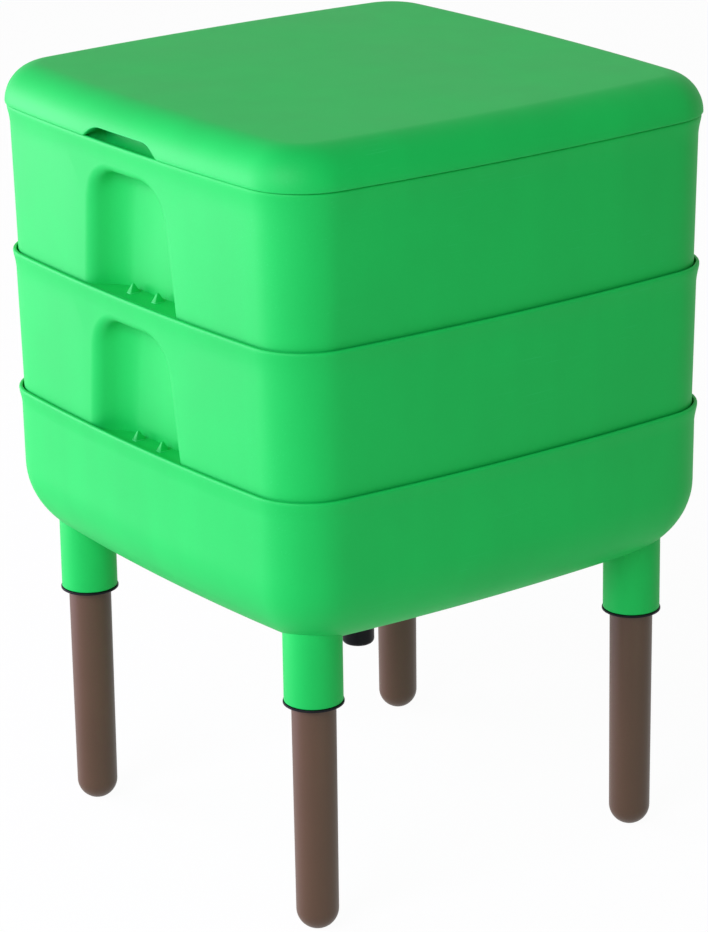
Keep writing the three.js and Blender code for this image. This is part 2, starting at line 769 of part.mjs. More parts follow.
function strainer() {
  const radius = SUMP_RADIUS - FIT_GAP;
  const inner = radius - STRAINER_WALL;
  const foot = FLOOR + FIT_GAP;
  const top = foot + STRAINER_HEIGHT;
  const shoulder = quarterArc(ROUND_STEPS).map(([cosine, sine]) => [
    radius - STRAINER_ROUND * (1 - cosine),
    top - STRAINER_ROUND * (1 - sine),
  ]);
  const cup = turned(
    [
      [0, top - STRAINER_WALL],
      [radius - STRAINER_ROUND, top - STRAINER_WALL],
      [inner, top - STRAINER_ROUND],
      [inner, foot],
      [radius, foot],
      ...shoulder,
      [0, top],
    ],
    TAP_SIDES,
  );
  const slots = [];
  for (let i = 0; i < SLOTS / 2; i++) {
    const slot = new THREE.BoxGeometry(2 * (radius + OVERRUN), SLOT_WIDTH, SLOT_HEIGHT);
    slot.translate(0, 0, foot + SLOT_LIFT + SLOT_HEIGHT / 2);
    slots.push(slot.rotateZ((2 * Math.PI * i) / SLOTS));
  }
  return cut(cup, slots);
}

// Finishes

const finish = (color, roughness, metalness = 0) =>
  new THREE.MeshStandardMaterial({ color, roughness, metalness });
const greenPlastic = finish(0x18b14e, 0.5);
const brownPlastic = finish(0x59453b, 0.55);
const blackPlastic = finish(0x16181b, 0.45);
const blackRubber = finish(0x1d1d1d, 0.85);
const steel = finish(0xb9bdc2, 0.35, 0.9);

// Assembly

const wormery = new THREE.Group();

function place(name, shape, material, x, y, z) {
  const mesh = new THREE.Mesh(geometryOf(shape), material);
  mesh.name = name;
  mesh.position.set(x, y, z);
  wormery.add(mesh);
}

place("collector_base", collectorBase(), greenPlastic, 0, 0, baseBottom);
for (const [corner, x, y] of corners) {
  place("leg_" + corner, leg(), brownPlastic, x, y, 0);
  place("collar_" + corner, collar(), blackPlastic, x, y, LEG_SHOWN - FIT_GAP);
}
const tapPieces = [
  ["tap_gasket", seal(gasketFoot), blackRubber],
  ["tap_body", tapBody(), blackPlastic],
  ["tap_washer", seal(washerFoot), blackRubber],
  ["tap_lock_nut", lockNut(), blackPlastic],
  ["tap_o_ring", oRing(), blackRubber],
  ["tap_knob", tapKnob(), blackPlastic],
  ["tap_screw", tapScrew(), steel],
  ["drain_strainer", strainer(), greenPlastic],
];
for (const [name, shape, material] of tapPieces) place(name, shape, material, 0, 0, sumpBottom);
place("lower_tray", tray(), greenPlastic, 0, 0, lowerTrayFoot);
place("upper_tray", tray(), greenPlastic, 0, 0, upperTrayFoot);
place("lid", lid(), greenPlastic, 0, 0, lidSeat);

export default wormery;
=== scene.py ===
"""The looks of a stacking wormery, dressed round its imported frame.

Lengths are in millimetres, as on a workshop drawing, and each mesh is brought to metres once, when
it is finished. Z is up, the floor is at zero, and the trays' hand recesses face -Y (the front) and
+Y (the back). The sizes inside a material are in metres, as its patterns read the finished mesh.
"""

import json
import logging
import math
from collections.abc import Callable, Sequence
from dataclasses import dataclass, field
from enum import Enum
from functools import partial

import bmesh
import bpy
from mathutils import Matrix, Vector

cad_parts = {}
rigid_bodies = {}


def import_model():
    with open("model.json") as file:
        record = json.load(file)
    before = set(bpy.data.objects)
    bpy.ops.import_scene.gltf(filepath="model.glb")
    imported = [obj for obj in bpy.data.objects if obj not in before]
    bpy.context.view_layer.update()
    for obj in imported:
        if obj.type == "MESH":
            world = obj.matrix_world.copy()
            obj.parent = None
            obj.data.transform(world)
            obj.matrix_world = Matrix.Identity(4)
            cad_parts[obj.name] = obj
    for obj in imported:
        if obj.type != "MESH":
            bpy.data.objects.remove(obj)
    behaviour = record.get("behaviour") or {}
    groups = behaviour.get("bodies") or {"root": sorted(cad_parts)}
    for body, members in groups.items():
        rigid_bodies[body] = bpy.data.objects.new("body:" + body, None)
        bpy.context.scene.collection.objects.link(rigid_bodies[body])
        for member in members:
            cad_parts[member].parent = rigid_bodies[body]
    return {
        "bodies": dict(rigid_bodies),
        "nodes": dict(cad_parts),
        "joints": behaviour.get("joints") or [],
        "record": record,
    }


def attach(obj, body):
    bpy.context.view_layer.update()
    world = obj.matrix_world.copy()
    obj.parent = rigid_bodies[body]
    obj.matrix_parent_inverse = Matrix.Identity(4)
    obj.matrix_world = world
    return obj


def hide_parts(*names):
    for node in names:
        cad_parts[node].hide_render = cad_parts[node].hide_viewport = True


LOG = logging.getLogger("wormery")
MM = 0.001
MERGE = 0.002
NIL = 1e-6
SHARP_DEGREES = 32.0
OUTWARD = "outward"
WHITE = (1.0, 1.0, 1.0)

Pair = tuple[float, float]
Triple = tuple[float, float, float]
Colour = Triple
Row = list[bmesh.types.BMVert]
Outline = list[Vector]
Profile = list[Pair]
Section = Callable[[float], Pair]
DentLevel = tuple[float, float, Callable[[float, float], float]]


class Body(Enum):
    """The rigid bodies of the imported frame."""

    BASE = "base"
    KNOB = "tap_knob"
    LOWER_TRAY = "lower_tray"
    UPPER_TRAY = "upper_tray"
    LID = "lid"


class Slot(Enum):
    """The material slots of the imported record."""

    GREEN = "green_plastic"
    BROWN = "brown_plastic"
    BLACK = "black_plastic"
    RUBBER = "black_rubber"
    STEEL = "steel"


class Operation(Enum):
    """What a cut does with its solid, in the Boolean modifier's words."""

    ADD = "UNION"
    TAKE = "DIFFERENCE"


class Side(Enum):
    """The two sides that have recesses and notches, by their quarter of a plan outline."""

    FRONT = 3
    BACK = 1

    def place(self, across: float, out: float, height: float) -> Vector:
        """Return the point that lies so far across this side, out from the middle and up."""
        sign = 1 if self is Side.FRONT else -1
        return Vector((sign * across, -sign * out, height))


class Corner(Enum):
    """The four corners that legs stand at, as signs of X and Y."""

    FRONT_LEFT = (-1, -1)
    FRONT_RIGHT = (1, -1)
    BACK_LEFT = (-1, 1)
    BACK_RIGHT = (1, 1)


# Shader graphs


class Value:
    """One number output of a shader graph, which takes Python's arithmetic."""

    def __init__(self, graph: "Graph", socket: bpy.types.NodeSocket) -> None:
        """Wrap a socket.

        Args:
            graph: The graph that the socket belongs to.
            socket: The output socket.
        """
        self.graph = graph
        self.socket = socket

    def _math(self, operation: str, first: "Value | float", second: "Value | float") -> "Value":
        """Return a Math node's result on two numbers or values."""
        node = self.graph.add("ShaderNodeMath", {"operation": operation}, {0: first, 1: second})
        return Value(self.graph, node.outputs[0])

    def __add__(self, other: "Value | float") -> "Value":
        """Return this plus another."""
        return self._math("ADD", self, other)

    def __radd__(self, other: "Value | float") -> "Value":
        """Return another plus this."""
        return self._math("ADD", other, self)

    def __sub__(self, other: "Value | float") -> "Value":
        """Return this minus another."""
        return self._math("SUBTRACT", self, other)

    def __rsub__(self, other: "Value | float") -> "Value":
        """Return another minus this."""
        return self._math("SUBTRACT", other, self)

    def __mul__(self, other: "Value | float") -> "Value":
        """Return this times another."""
        return self._math("MULTIPLY", self, other)

    def __rmul__(self, other: "Value | float") -> "Value":
        """Return another times this."""
        return self._math("MULTIPLY", other, self)

    def clear_of(self, low: float, high: float) -> "Value":
        """Turn this into a mask with a smooth step.

        Args:
            low: Where the step starts.
            high: Where the step ends.

        Returns:
            0 below the step and 1 above it.
        """
        node = self.graph.add(
            "ShaderNodeMapRange",
            {"interpolation_type": "SMOOTHSTEP"},
            {"Value": self, "From Min": low, "From Max": high},
        )
        return Value(self.graph, node.outputs["Result"])


class Graph:
    """The node tree of a material or a world, grown from code."""

    def __init__(self, holder: bpy.types.Material | bpy.types.World) -> None:
        """Empty a holder's node tree.

        Args:
            holder: The material or world.
        """
        holder.use_nodes = True
        self.holder = holder
        self.tree = holder.node_tree
        self.tree.nodes.clear()

    def add(
        self,
        kind: str,
        settings: dict[str, object] | None = None,
        inputs: dict[str | int, object] | None = None,
    ) -> bpy.types.Node:
        """Add a node.

        Args:
            kind: The node's type.
            settings: The node's own properties, set first.
            inputs: A number, colour, vector, value or socket for each named input.

        Returns:
            The new node.
        """
        node = self.tree.nodes.new(kind)
        for name, setting in (settings or {}).items():
            setattr(node, name, setting)
        for key, given in (inputs or {}).items():
            source = given.socket if isinstance(given, Value) else given
            if isinstance(source, bpy.types.NodeSocket):
                self.tree.links.new(source, node.inputs[key])
            else:
                node.inputs[key].default_value = source
        return node

    def place(self) -> bpy.types.NodeSocket:
        """Return the surface point in the part's own frame, in metres."""
        return self.add("ShaderNodeTexCoord").outputs["Object"]

    def noise(self, place: bpy.types.NodeSocket, scale: float, detail: float = 2.0) -> Value:
        """Add soft noise.

        Args:
            place: The point that it is read at.
            scale: How many swells it has to the metre.
            detail: How much finer noise rides on it.

        Returns:
            The noise, from 0 to 1.
        """
        node = self.add(
            "ShaderNodeTexNoise", inputs={"Vector": place, "Scale": scale, "Detail": detail}
        )
        return Value(self, node.outputs["Fac"])

    def stretched(
        self, place: bpy.types.NodeSocket, scale: Triple, turn: float = 0.0
    ) -> bpy.types.NodeSocket:
        """Stretch a place, for patterns that run one way.

        Args:
            place: The place.
            scale: How much it grows on each axis.
            turn: How far it is turned about each axis first.

        Returns:
            The stretched place.
        """
        turns = (turn, turn, turn)
        node = self.add(
            "ShaderNodeMapping", inputs={"Vector": place, "Scale": scale, "Rotation": turns}
        )
        return node.outputs["Vector"]

    def blend(self, share: Value | float, low: object, high: object) -> bpy.types.NodeSocket:
        """Return a colour between two, by a share."""
        node = self.add("ShaderNodeMix", {"data_type": "RGBA"}, {0: share, 6: low, 7: high})
        return node.outputs[2]

    def edges(self, reach: float, tightness: Pair = (0.004, 0.12), samples: int = 6) -> Value:
        """Find the outward edges of a piece.

        Args:
            reach: How far round a point the surface is looked at, in metres.
            tightness: How much the surface turns there where an edge starts to show, and where it
                shows fully.
            samples: How many looks are taken.

        Returns:
            About 1 on outward edges that are tighter than the reach, and 0 elsewhere.
        """
        soft = self.add("ShaderNodeBevel", {"samples": samples}, {"Radius": reach})
        plain = self.add("ShaderNodeNewGeometry")
        dot = self.add(
            "ShaderNodeVectorMath",
            {"operation": "DOT_PRODUCT"},
            {0: soft.outputs["Normal"], 1: plain.outputs["Normal"]},
        )
        outward = self.add("ShaderNodeAttribute", {"attribute_name": OUTWARD})
        tight = (1.0 - Value(self, dot.outputs["Value"])).clear_of(*tightness)
        return tight * Value(self, outward.outputs["Fac"])

    def bump(self, height: Value, strength: float, distance: float) -> bpy.types.NodeSocket:
        """Tip the normal by a height field.

        Args:
            height: The height field.
            strength: How strongly it tips the normal, from 0 to 1.
            distance: The height of 1, in metres.

        Returns:
            The tipped normal.
        """
        node = self.add(
            "ShaderNodeBump", inputs={"Strength": strength, "Distance": distance, "Height": height}
        )
        return node.outputs["Normal"]

    def surface(self, inputs: dict[str | int, object]) -> bpy.types.Material:
        """Close the graph with a Principled shader.

        Args:
            inputs: The shader's inputs.

        Returns:
            The finished material.
        """
        shader = self.add("ShaderNodeBsdfPrincipled", inputs=inputs)
        self.add("ShaderNodeOutputMaterial", inputs={"Surface": shader.outputs[0]})
        return self.holder


def rgba(colour: Colour, times: float = 1.0) -> tuple[float, float, float, float]:
    """Return a linear colour, lightened or darkened, as a socket takes it."""
    return (colour[0] * times, colour[1] * times, colour[2] * times, 1.0)


@dataclass(frozen=True)
class Finish:
    """A finish: what a surface is made of and how it is worn."""

    name: str
    slot: Slot
    colour: Colour
    roughness: float

    def material(self) -> bpy.types.Material:
        """Return this finish's material, made once."""
        return bpy.data.materials.get(self.name) or self.make()

    def make(self) -> bpy.types.Material:
        """Build the material."""
        raise NotImplementedError


@dataclass(frozen=True)
class MouldedPlastic(Finish):
    """Plastic from a spark-eroded mould: fine grain, flow marks, light scuffs and paler edges.

    A scale is how many swells a pattern has to the metre, a band is where a mask starts and ends,
    and a swing is how much a pattern changes the roughness.
    """

    edge: Colour
    edge_share: float
    specular: float
    mottle: float = 0.06
    edge_reach: float = 0.0012
    detail: float = 3.0
    cloud_scale: float = 9.0
    flow_scale: Triple = (30.0, 30.0, 4.0)
    speckle_scale: float = 900.0
    shade_shares: Triple = (0.5, 0.3, 0.2)
    shade_band: Pair = (0.3, 0.7)
    hair_scale: Triple = (900.0, 22.0, 900.0)
    hair_turn: float = 0.6
    hair_detail: float = 1.0
    hair_band: Pair = (0.66, 0.74)
    patch_scale: float = 14.0
    patch_band: Pair = (0.45, 0.7)
    scuff_share: float = 0.12
    scuff_depth: float = 0.4
    swings: Triple = (0.08, 0.05, 0.1)
    grain_scale: float = 1500.0
    grain_height: float = 0.00004
    grain_strength: float = 0.5

    def make(self) -> bpy.types.Material:
        """Build the material.

        Returns:
            The material.
        """
        graph = Graph(bpy.data.materials.new(self.name))
        place = graph.place()
        cloud = graph.noise(place, self.cloud_scale, self.detail)
        flow = graph.noise(graph.stretched(place, self.flow_scale), 1.0)
        speckle = graph.noise(place, self.speckle_scale)
        grain = graph.noise(place, self.grain_scale, self.detail)
        hairs = graph.stretched(place, self.hair_scale, self.hair_turn)
        hair = graph.noise(hairs, 1.0, self.hair_detail)
        patch = graph.noise(place, self.patch_scale)
        scuff = hair.clear_of(*self.hair_band) * patch.clear_of(*self.patch_band)
        of_cloud, of_flow, of_speckle = self.shade_shares
        shade = cloud * of_cloud + flow * of_flow + speckle * of_speckle
        tint = graph.blend(
            shade.clear_of(*self.shade_band),
            rgba(self.colour, 1 - self.mottle),
            rgba(self.colour, 1 + self.mottle),
        )
        worn = graph.edges(self.edge_reach) * self.edge_share + scuff * self.scuff_share
        by_cloud, by_speckle, by_scuff = self.swings
        swing = (cloud - 0.5) * by_cloud + (speckle - 0.5) * by_speckle + scuff * by_scuff
        height = grain - scuff * self.scuff_depth
        return graph.surface(
            {
                "Base Color": graph.blend(worn, tint, rgba(self.edge)),
                "Roughness": self.roughness + swing,
                "Specular IOR Level": self.specular,
                "Normal": graph.bump(height, self.grain_strength, self.grain_height),
            }
        )


@dataclass(frozen=True)
class Rubber(Finish):
    """Matte moulded rubber, a little dusty."""

    detail: float = 3.0
    dust_scale: float = 60.0
    dust_band: Pair = (0.3, 0.75)
    dust_shades: Pair = (0.85, 1.4)
    swing: float = 0.12
    grain_scale: float = 2200.0
    grain_height: float = 0.00005
    grain_strength: float = 0.4

    def make(self) -> bpy.types.Material:
        """Build the material.

        Returns:
            The material.
        """
        graph = Graph(bpy.data.materials.new(self.name))
        place = graph.place()
        dust = graph.noise(place, self.dust_scale, self.detail)
        grain = graph.noise(place, self.grain_scale)
        clean, dusty = (rgba(self.colour, shade) for shade in self.dust_shades)
        return graph.surface(
            {
                "Base Color": graph.blend(dust.clear_of(*self.dust_band), clean, dusty),
                "Roughness": self.roughness + (dust - 0.5) * self.swing,
                "Normal": graph.bump(grain, self.grain_strength, self.grain_height),
            }
        )


@dataclass(frozen=True)
class TurnedSteel(Finish):
    """Plain stainless steel with fine turning marks."""

    cloud_scale: float = 120.0
    cloud_band: Pair = (0.3, 0.7)
    cloud_shades: Pair = (0.9, 1.05)
    mark_scale: Triple = (60.0, 60.0, 4000.0)
    mark_height: float = 0.00002
    mark_strength: float = 0.25
    swing: float = 0.15

    def make(self) -> bpy.types.Material:
        """Build the material.

        Returns:
            The material.
        """
        graph = Graph(bpy.data.materials.new(self.name))
        place = graph.place()
        marks = graph.noise(graph.stretched(place, self.mark_scale), 1.0)
        cloud = graph.noise(place, self.cloud_scale)
        dull, bright = (rgba(self.colour, shade) for shade in self.cloud_shades)
        return graph.surface(
            {
                "Base Color": graph.blend(cloud.clear_of(*self.cloud_band), dull, bright),
                "Metallic": 1.0,
                "Roughness": self.roughness + (marks - 0.5) * self.swing,
                "Normal": graph.bump(marks, self.mark_strength, self.mark_height),
            }
        )


GREEN = MouldedPlastic(
    name="green_moulding",
    slot=Slot.GREEN,
    colour=(0.001, 0.47, 0.07),
    roughness=0.58,
    specular=0.25,
    edge=(0.08, 0.66, 0.26),
    edge_share=0.4,
)
BROWN = MouldedPlastic(
    name="brown_tube",
    slot=Slot.BROWN,
    colour=(0.073, 0.039, 0.017),
    roughness=0.42,
    specular=0.4,
    edge=(0.14, 0.085, 0.06),
    edge_share=0.3,
    mottle=0.1,
)
BLACK = MouldedPlastic(
    name="black_moulding",
    slot=Slot.BLACK,
    colour=(0.003, 0.004, 0.005),
    roughness=0.45,
    specular=0.12,
    edge=(0.03, 0.03, 0.034),
    edge_share=0.4,
    mottle=0.12,
)
SEAL = Rubber(
    name="seal_rubber",
    slot=Slot.RUBBER,
    colour=(0.012, 0.012, 0.012),
    roughness=0.75,
)
STEEL = TurnedSteel(
    name="screw_steel",
    slot=Slot.STEEL,
    colour=(0.56, 0.56, 0.58),
    roughness=0.3,
)


# Lines and outlines


def arc(centre: Vector, start: Vector, sweep: float, steps: int) -> Outline:
    """Return points on an arc from a start point, both ends included, with a sweep in radians."""
    reach = start - centre
    return [centre + Matrix.Rotation(sweep * i / steps, 2) @ reach for i in range(steps + 1)]


def filleted(corners: Sequence[Triple], steps: int, closed: bool = False) -> Outline:
    """Round the corners of a line.

    Args:
        corners: The line's corners as (x, y, radius). A radius of zero leaves a corner sharp.
        steps: How many facets each rounding gets.
        closed: Whether the line's ends meet.

    Returns:
        The rounded line's points.
    """
    points: Outline = []
    last = len(corners) - 1
    for i, (x, y, radius) in enumerate(corners):
        corner = Vector((x, y))
        if radius == 0 or (not closed and i in (0, last)):
            points.append(corner)
            continue
        back = (Vector(corners[i - 1][:2]) - corner).normalized()
        onward = (Vector(corners[(i + 1) % len(corners)][:2]) - corner).normalized()
        half = back.angle(onward) / 2
        centre = corner + (back + onward).normalized() * (radius / math.sin(half))
        start = corner + back * (radius / math.tan(half))
        turn = 1 if back.x * onward.y - back.y * onward.x < 0 else -1
        points.extend(arc(centre, start, turn * (math.pi - 2 * half), steps))
    return points


def quarter_arc(steps: int) -> list[Pair]:
    """Return the cosine and sine of each step from 0 to 90 degrees."""
    angles = [math.pi / 2 * i / steps for i in range(steps + 1)]
    return [(math.cos(angle), math.sin(angle)) for angle in angles]


def reached(line: Outline, origin: Vector, heading: Vector) -> Vector:
    """Return where a ray from inside an open line meets it.

    Args:
        line: The line, whose two ends lie level with the origin.
        origin: The ray's start.
        heading: The ray's direction.

    Returns:
        The point on the line.
    """
    if abs(heading.y) < NIL:
        return line[-1] if heading.x > 0 else line[0]
    for start, end in zip(line, line[1:]):
        along = end - start
        cross = heading.x * along.y - heading.y * along.x
        if abs(cross) < NIL * NIL:
            continue
        gap = start - origin
        share = (gap.x * heading.y - gap.y * heading.x) / cross
        distance = (gap.x * along.y - gap.y * along.x) / cross
        if -NIL <= share <= 1 + NIL and distance > 0:
            return start + along * share
    raise ValueError("a ray misses the line that it should meet")


@dataclass(frozen=True)
class Plan:
    """The outline that rims, trays, base and lid share, a square with swollen sides."""

    rim_half: float = 184.5
    side_bow: float = 4.95
    corner_radius: float = 45.0
    corner_steps: int = 12

    @property
    def flat(self) -> float:
        """Half of a side's straight stretch before it is swollen."""
        return self.rim_half - self.corner_radius

    def bulge(self, across: float) -> float:
        """Return how much further out than its half width a side stands, so far across it."""
        radius = (self.flat**2 + self.side_bow**2) / (2 * self.side_bow)
        return self.side_bow - radius + math.sqrt(radius**2 - across**2)

    def outline(
        self, half: float, columns: Sequence[float], corner: float | None = None
    ) -> Outline:
        """Return the outline at a half width, anticlockwise from the +X side's first column.

        Args:
            half: Half of the width beside the corners.
            columns: Where each side has points, across it from its middle.
            corner: The corners' radius. The default lets the outline in or out evenly.

        Returns:
            The outline's points, with as many for each half width.
        """
        if corner is None:
            corner = self.corner_radius + half - self.rim_half
        flat = half - corner
        side_radius = (flat**2 + self.side_bow**2) / (2 * self.side_bow)
        behind = side_radius - half - self.side_bow
        between = side_radius - corner
        centre = (math.sqrt(2 * between**2 - behind**2) - behind) / 2
        lean = math.atan2(centre, centre + behind)
        quarter: Outline = []
        for across in columns:
            angle = math.asin(across * flat / self.flat / side_radius)
            out = side_radius * math.cos(angle) - behind
            quarter.append(Vector((out, side_radius * math.sin(angle))))
        middle = Vector((centre, centre))
        start = middle + corner * Vector((math.cos(lean), math.sin(lean)))
        quarter.extend(arc(middle, start, math.pi / 2 - 2 * lean, self.corner_steps))
        turns = [Matrix.Rotation(math.pi / 2 * side, 2) for side in range(4)]
        return [turn @ point for turn in turns for point in quarter]

    def per_side(self, columns: Sequence[float]) -> int:
        """Return how many points of an outline belong to one side and the corner after it."""
        return len(columns) + self.corner_steps + 1


PLAN = Plan()


def both_ways(stations: Sequence[float]) -> list[float]:
    """Return stations mirrored about zero, which is the first of them."""
    return [-station for station in reversed(stations[1:])] + list(stations)


def spread(low: float, high: float, steps: int) -> list[float]:
    """Return evenly spaced numbers from low to high, both included."""
    return [low + (high - low) * i / steps for i in range(steps + 1)]


def points_of(pairs: Sequence[Pair]) -> Outline:
    """Return pairs of numbers as points."""
    return [Vector(pair) for pair in pairs]


def ring_section(radii: Pair, heights: Pair, rounding: float, steps: int) -> Outline:
    """Work out the section of a flat ring with rounded edges.

    Args:
        radii: Its inner and outer radius.
        heights: Its lower and upper face.
        rounding: The radius of its edges.
        steps: How many facets each edge gets.

    Returns:
        The section, which ends where it starts.
    """
    inner, outer = radii
    low, high = heights
    corners = [(inner, low), (outer, low), (outer, high), (inner, high)]
    line = filleted([(x, y, rounding) for x, y in corners], steps, True)
    return [*line, line[0]]


# Meshes


class Skin:
    """A surface that grows row by row in one bmesh."""

    def __init__(self) -> None:
        """Start with nothing."""
        self.mesh = bmesh.new()

    def ring(self, points: Sequence[Vector]) -> Row:
        """Start a closed row of vertices.

        Args:
            points: Where they go.

        Returns:
            The row, in the points' order.
        """
        made = bmesh.ops.create_circle(
            self.mesh, cap_ends=False, radius=1.0, segments=len(points)
        )
        row = [made["verts"][0]]
        edge = row[0].link_edges[0]
        while len(row) < len(points):
            row.append(edge.other_vert(row[-1]))
            edge = next(other for other in row[-1].link_edges if other is not edge)
        for vertex, point in zip(row, points):
            vertex.co = point
        return row

    def edges(self, row: Row, closed: bool = True) -> list[bmesh.types.BMEdge]:
        """Return the edges along a row."""
        following = row[1:] + row[:1] if closed else row[1:]
        return [self.mesh.edges.get(pair) for pair in zip(row, following)]

    def extend(self, row: Row, points: Sequence[Vector], closed: bool = True) -> Row:
        """Extrude a row to new points.

        Args:
            row: The row to go on from.
            points: Where the new row's vertices go.
            closed: Whether the row's ends meet.

        Returns:
            The new row.
        """
        made = bmesh.ops.extrude_edge_only(self.mesh, edges=self.edges(row, closed))["geom"]
        fresh = {part for part in made if isinstance(part, bmesh.types.BMVert)}
        reached_from = [[edge.other_vert(vertex) for edge in vertex.link_edges] for vertex in row]
        following = [next(end for end in ends if end in fresh) for ends in reached_from]
        for vertex, point in zip(following, points):
            vertex.co = point
        return following

    def join(self, first: bmesh.types.BMVert, second: bmesh.types.BMVert) -> bmesh.types.BMEdge:
        """Return the edge between two vertices, made if there is none."""
        made = self.mesh.edges.get((first, second))
        return made or bmesh.ops.contextual_create(self.mesh, geom=[first, second])["edges"][0]

    def cap(self, edges: list[bmesh.types.BMEdge]) -> None:
        """Close one loop of edges with a flat face."""
        bmesh.ops.contextual_create(self.mesh, geom=edges)

    def fill(self, height: float) -> None:
        """Close the open edges at one height with flat triangles, round the loops inside them.

        Args:
            height: The height.
        """
        bmesh.ops.remove_doubles(self.mesh, verts=self.mesh.verts, dist=MERGE)
        level = [
            edge
            for edge in self.mesh.edges
            if edge.is_boundary and all(abs(vertex.co.z - height) < MERGE for vertex in edge.verts)
        ]
        bmesh.ops.triangle_fill(self.mesh, use_beauty=True, use_dissolve=False, edges=level)

    def turn(self, line: Outline, segments: int, centre: Pair = (0.0, 0.0)) -> None:
        """Spin a line of (radius, height) points full round an upright axis.

        Args:
            line: The line. Its ends lie on the axis, or are the same point.
            segments: How many facets go round.
            centre: The axis's X and Y.
        """
        middle = Vector((*centre, 0.0))
        start = [self.mesh.verts.new(middle + Vector((point.x, 0.0, point.y))) for point in line]
        edges = [self.mesh.edges.new(pair) for pair in zip(start, start[1:])]
        bmesh.ops.spin(
            self.mesh,
            geom=start + edges,
            cent=middle,
            axis=(0.0, 0.0, 1.0),
            dvec=(0.0, 0.0, 0.0),
            angle=2 * math.pi,
            steps=segments,
            use_merge=True,
            use_duplicate=False,
        )
        bmesh.ops.remove_doubles(self.mesh, verts=self.mesh.verts, dist=MERGE)


@dataclass(frozen=True)
class Piece:
    """A finished piece: its name, its body, its finish and the nodes that it stands for."""

    name: str
    body: Body
    finish: Finish
    nodes: tuple[str, ...]

    def publish(self, skin: Skin, lift: float = 0.0, cutters: Sequence["Cut"] = ()) -> None:
        """Turn a skin into this piece, riding on its body.

        Args:
            skin: The mesh, in millimetres.
            lift: How far its own zero is above the floor.
            cutters: Solids to add to it or take from it first, in order.
        """
        thing = as_object(skin, self.name)
        for cutter in cutters:
            cutter.apply(thing)
        mesh = thing.data
        mesh.transform(Matrix.Scale(MM, 4) @ Matrix.Translation((0.0, 0.0, lift)))
        mesh.shade_smooth()
        mesh.set_sharp_from_angle(angle=math.radians(SHARP_DEGREES))
        mark_outward(mesh)
        mesh.materials.clear()
        mesh.materials.append(self.finish.material())
        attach(thing, self.body.value)
        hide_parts(*self.nodes)
        LOG.info("%s rides on %s with %d faces", self.name, self.body.value, len(mesh.polygons))


def as_object(skin: Skin, name: str) -> bpy.types.Object:
    """Make an object of a skin, with its doubles merged and its faces outwards.

    Args:
        skin: The skin, which is used up.
        name: The object's name.

    Returns:
        The object.
    """
    bmesh.ops.remove_doubles(skin.mesh, verts=skin.mesh.verts, dist=MERGE)
    bmesh.ops.recalc_face_normals(skin.mesh, faces=skin.mesh.faces)
    mesh = bpy.data.meshes.new(name)
    skin.mesh.to_mesh(mesh)
    skin.mesh.free()
    thing = bpy.data.objects.new(name, mesh)
    bpy.context.scene.collection.objects.link(thing)
    return thing


def mark_outward(mesh: bpy.types.Mesh) -> None:
    """Keep on each vertex whether the edges round it stand outwards, where a moulding wears.

    Args:
        mesh: The finished mesh.
    """
    work = bmesh.new()
    work.from_mesh(mesh)
    layer = work.verts.layers.float.new(OUTWARD)
    for vertex in work.verts:
        turn = sum(edge.calc_face_angle_signed(0.0) for edge in vertex.link_edges)
        vertex[layer] = 1.0 if turn > 0 else 0.0
    work.to_mesh(mesh)
    work.free()


@dataclass(frozen=True)
class Cut:
    """A solid that is added to a piece or taken from it."""

    skin: Skin
    operation: Operation = Operation.TAKE

    def apply(self, thing: bpy.types.Object) -> None:
        """Change a piece's mesh by this solid.

        Args:
            thing: The piece.
        """
        tool = as_object(self.skin, "tool")
        modifier = thing.modifiers.new("cut", "BOOLEAN")
        modifier.operation = self.operation.value
        modifier.solver = "EXACT"
        modifier.object = tool
        bpy.context.view_layer.update()
        shaped = bpy.data.meshes.new_from_object(
            thing.evaluated_get(bpy.context.evaluated_depsgraph_get())
        )
        thing.modifiers.clear()
        thing.data = shaped
        bpy.data.objects.remove(tool)


def bar(size: Triple, turn: float, height: float) -> Skin:
    """Return a bar through the Z axis, which cuts a pair of slots.

    Args:
        size: Its length, width and height.
        turn: How far it is turned about the axis.
        height: The height of its middle.

    Returns:
        The bar.
    """
    skin = Skin()
    verts = bmesh.ops.create_cube(skin.mesh, size=1.0)["verts"]
    bmesh.ops.scale(skin.mesh, verts=verts, vec=size)
    bmesh.ops.rotate(skin.mesh, verts=verts, matrix=Matrix.Rotation(turn, 3, "Z"))
    bmesh.ops.translate(skin.mesh, verts=verts, vec=(0.0, 0.0, height))
    return skin


# Rims, which trays and base have alike


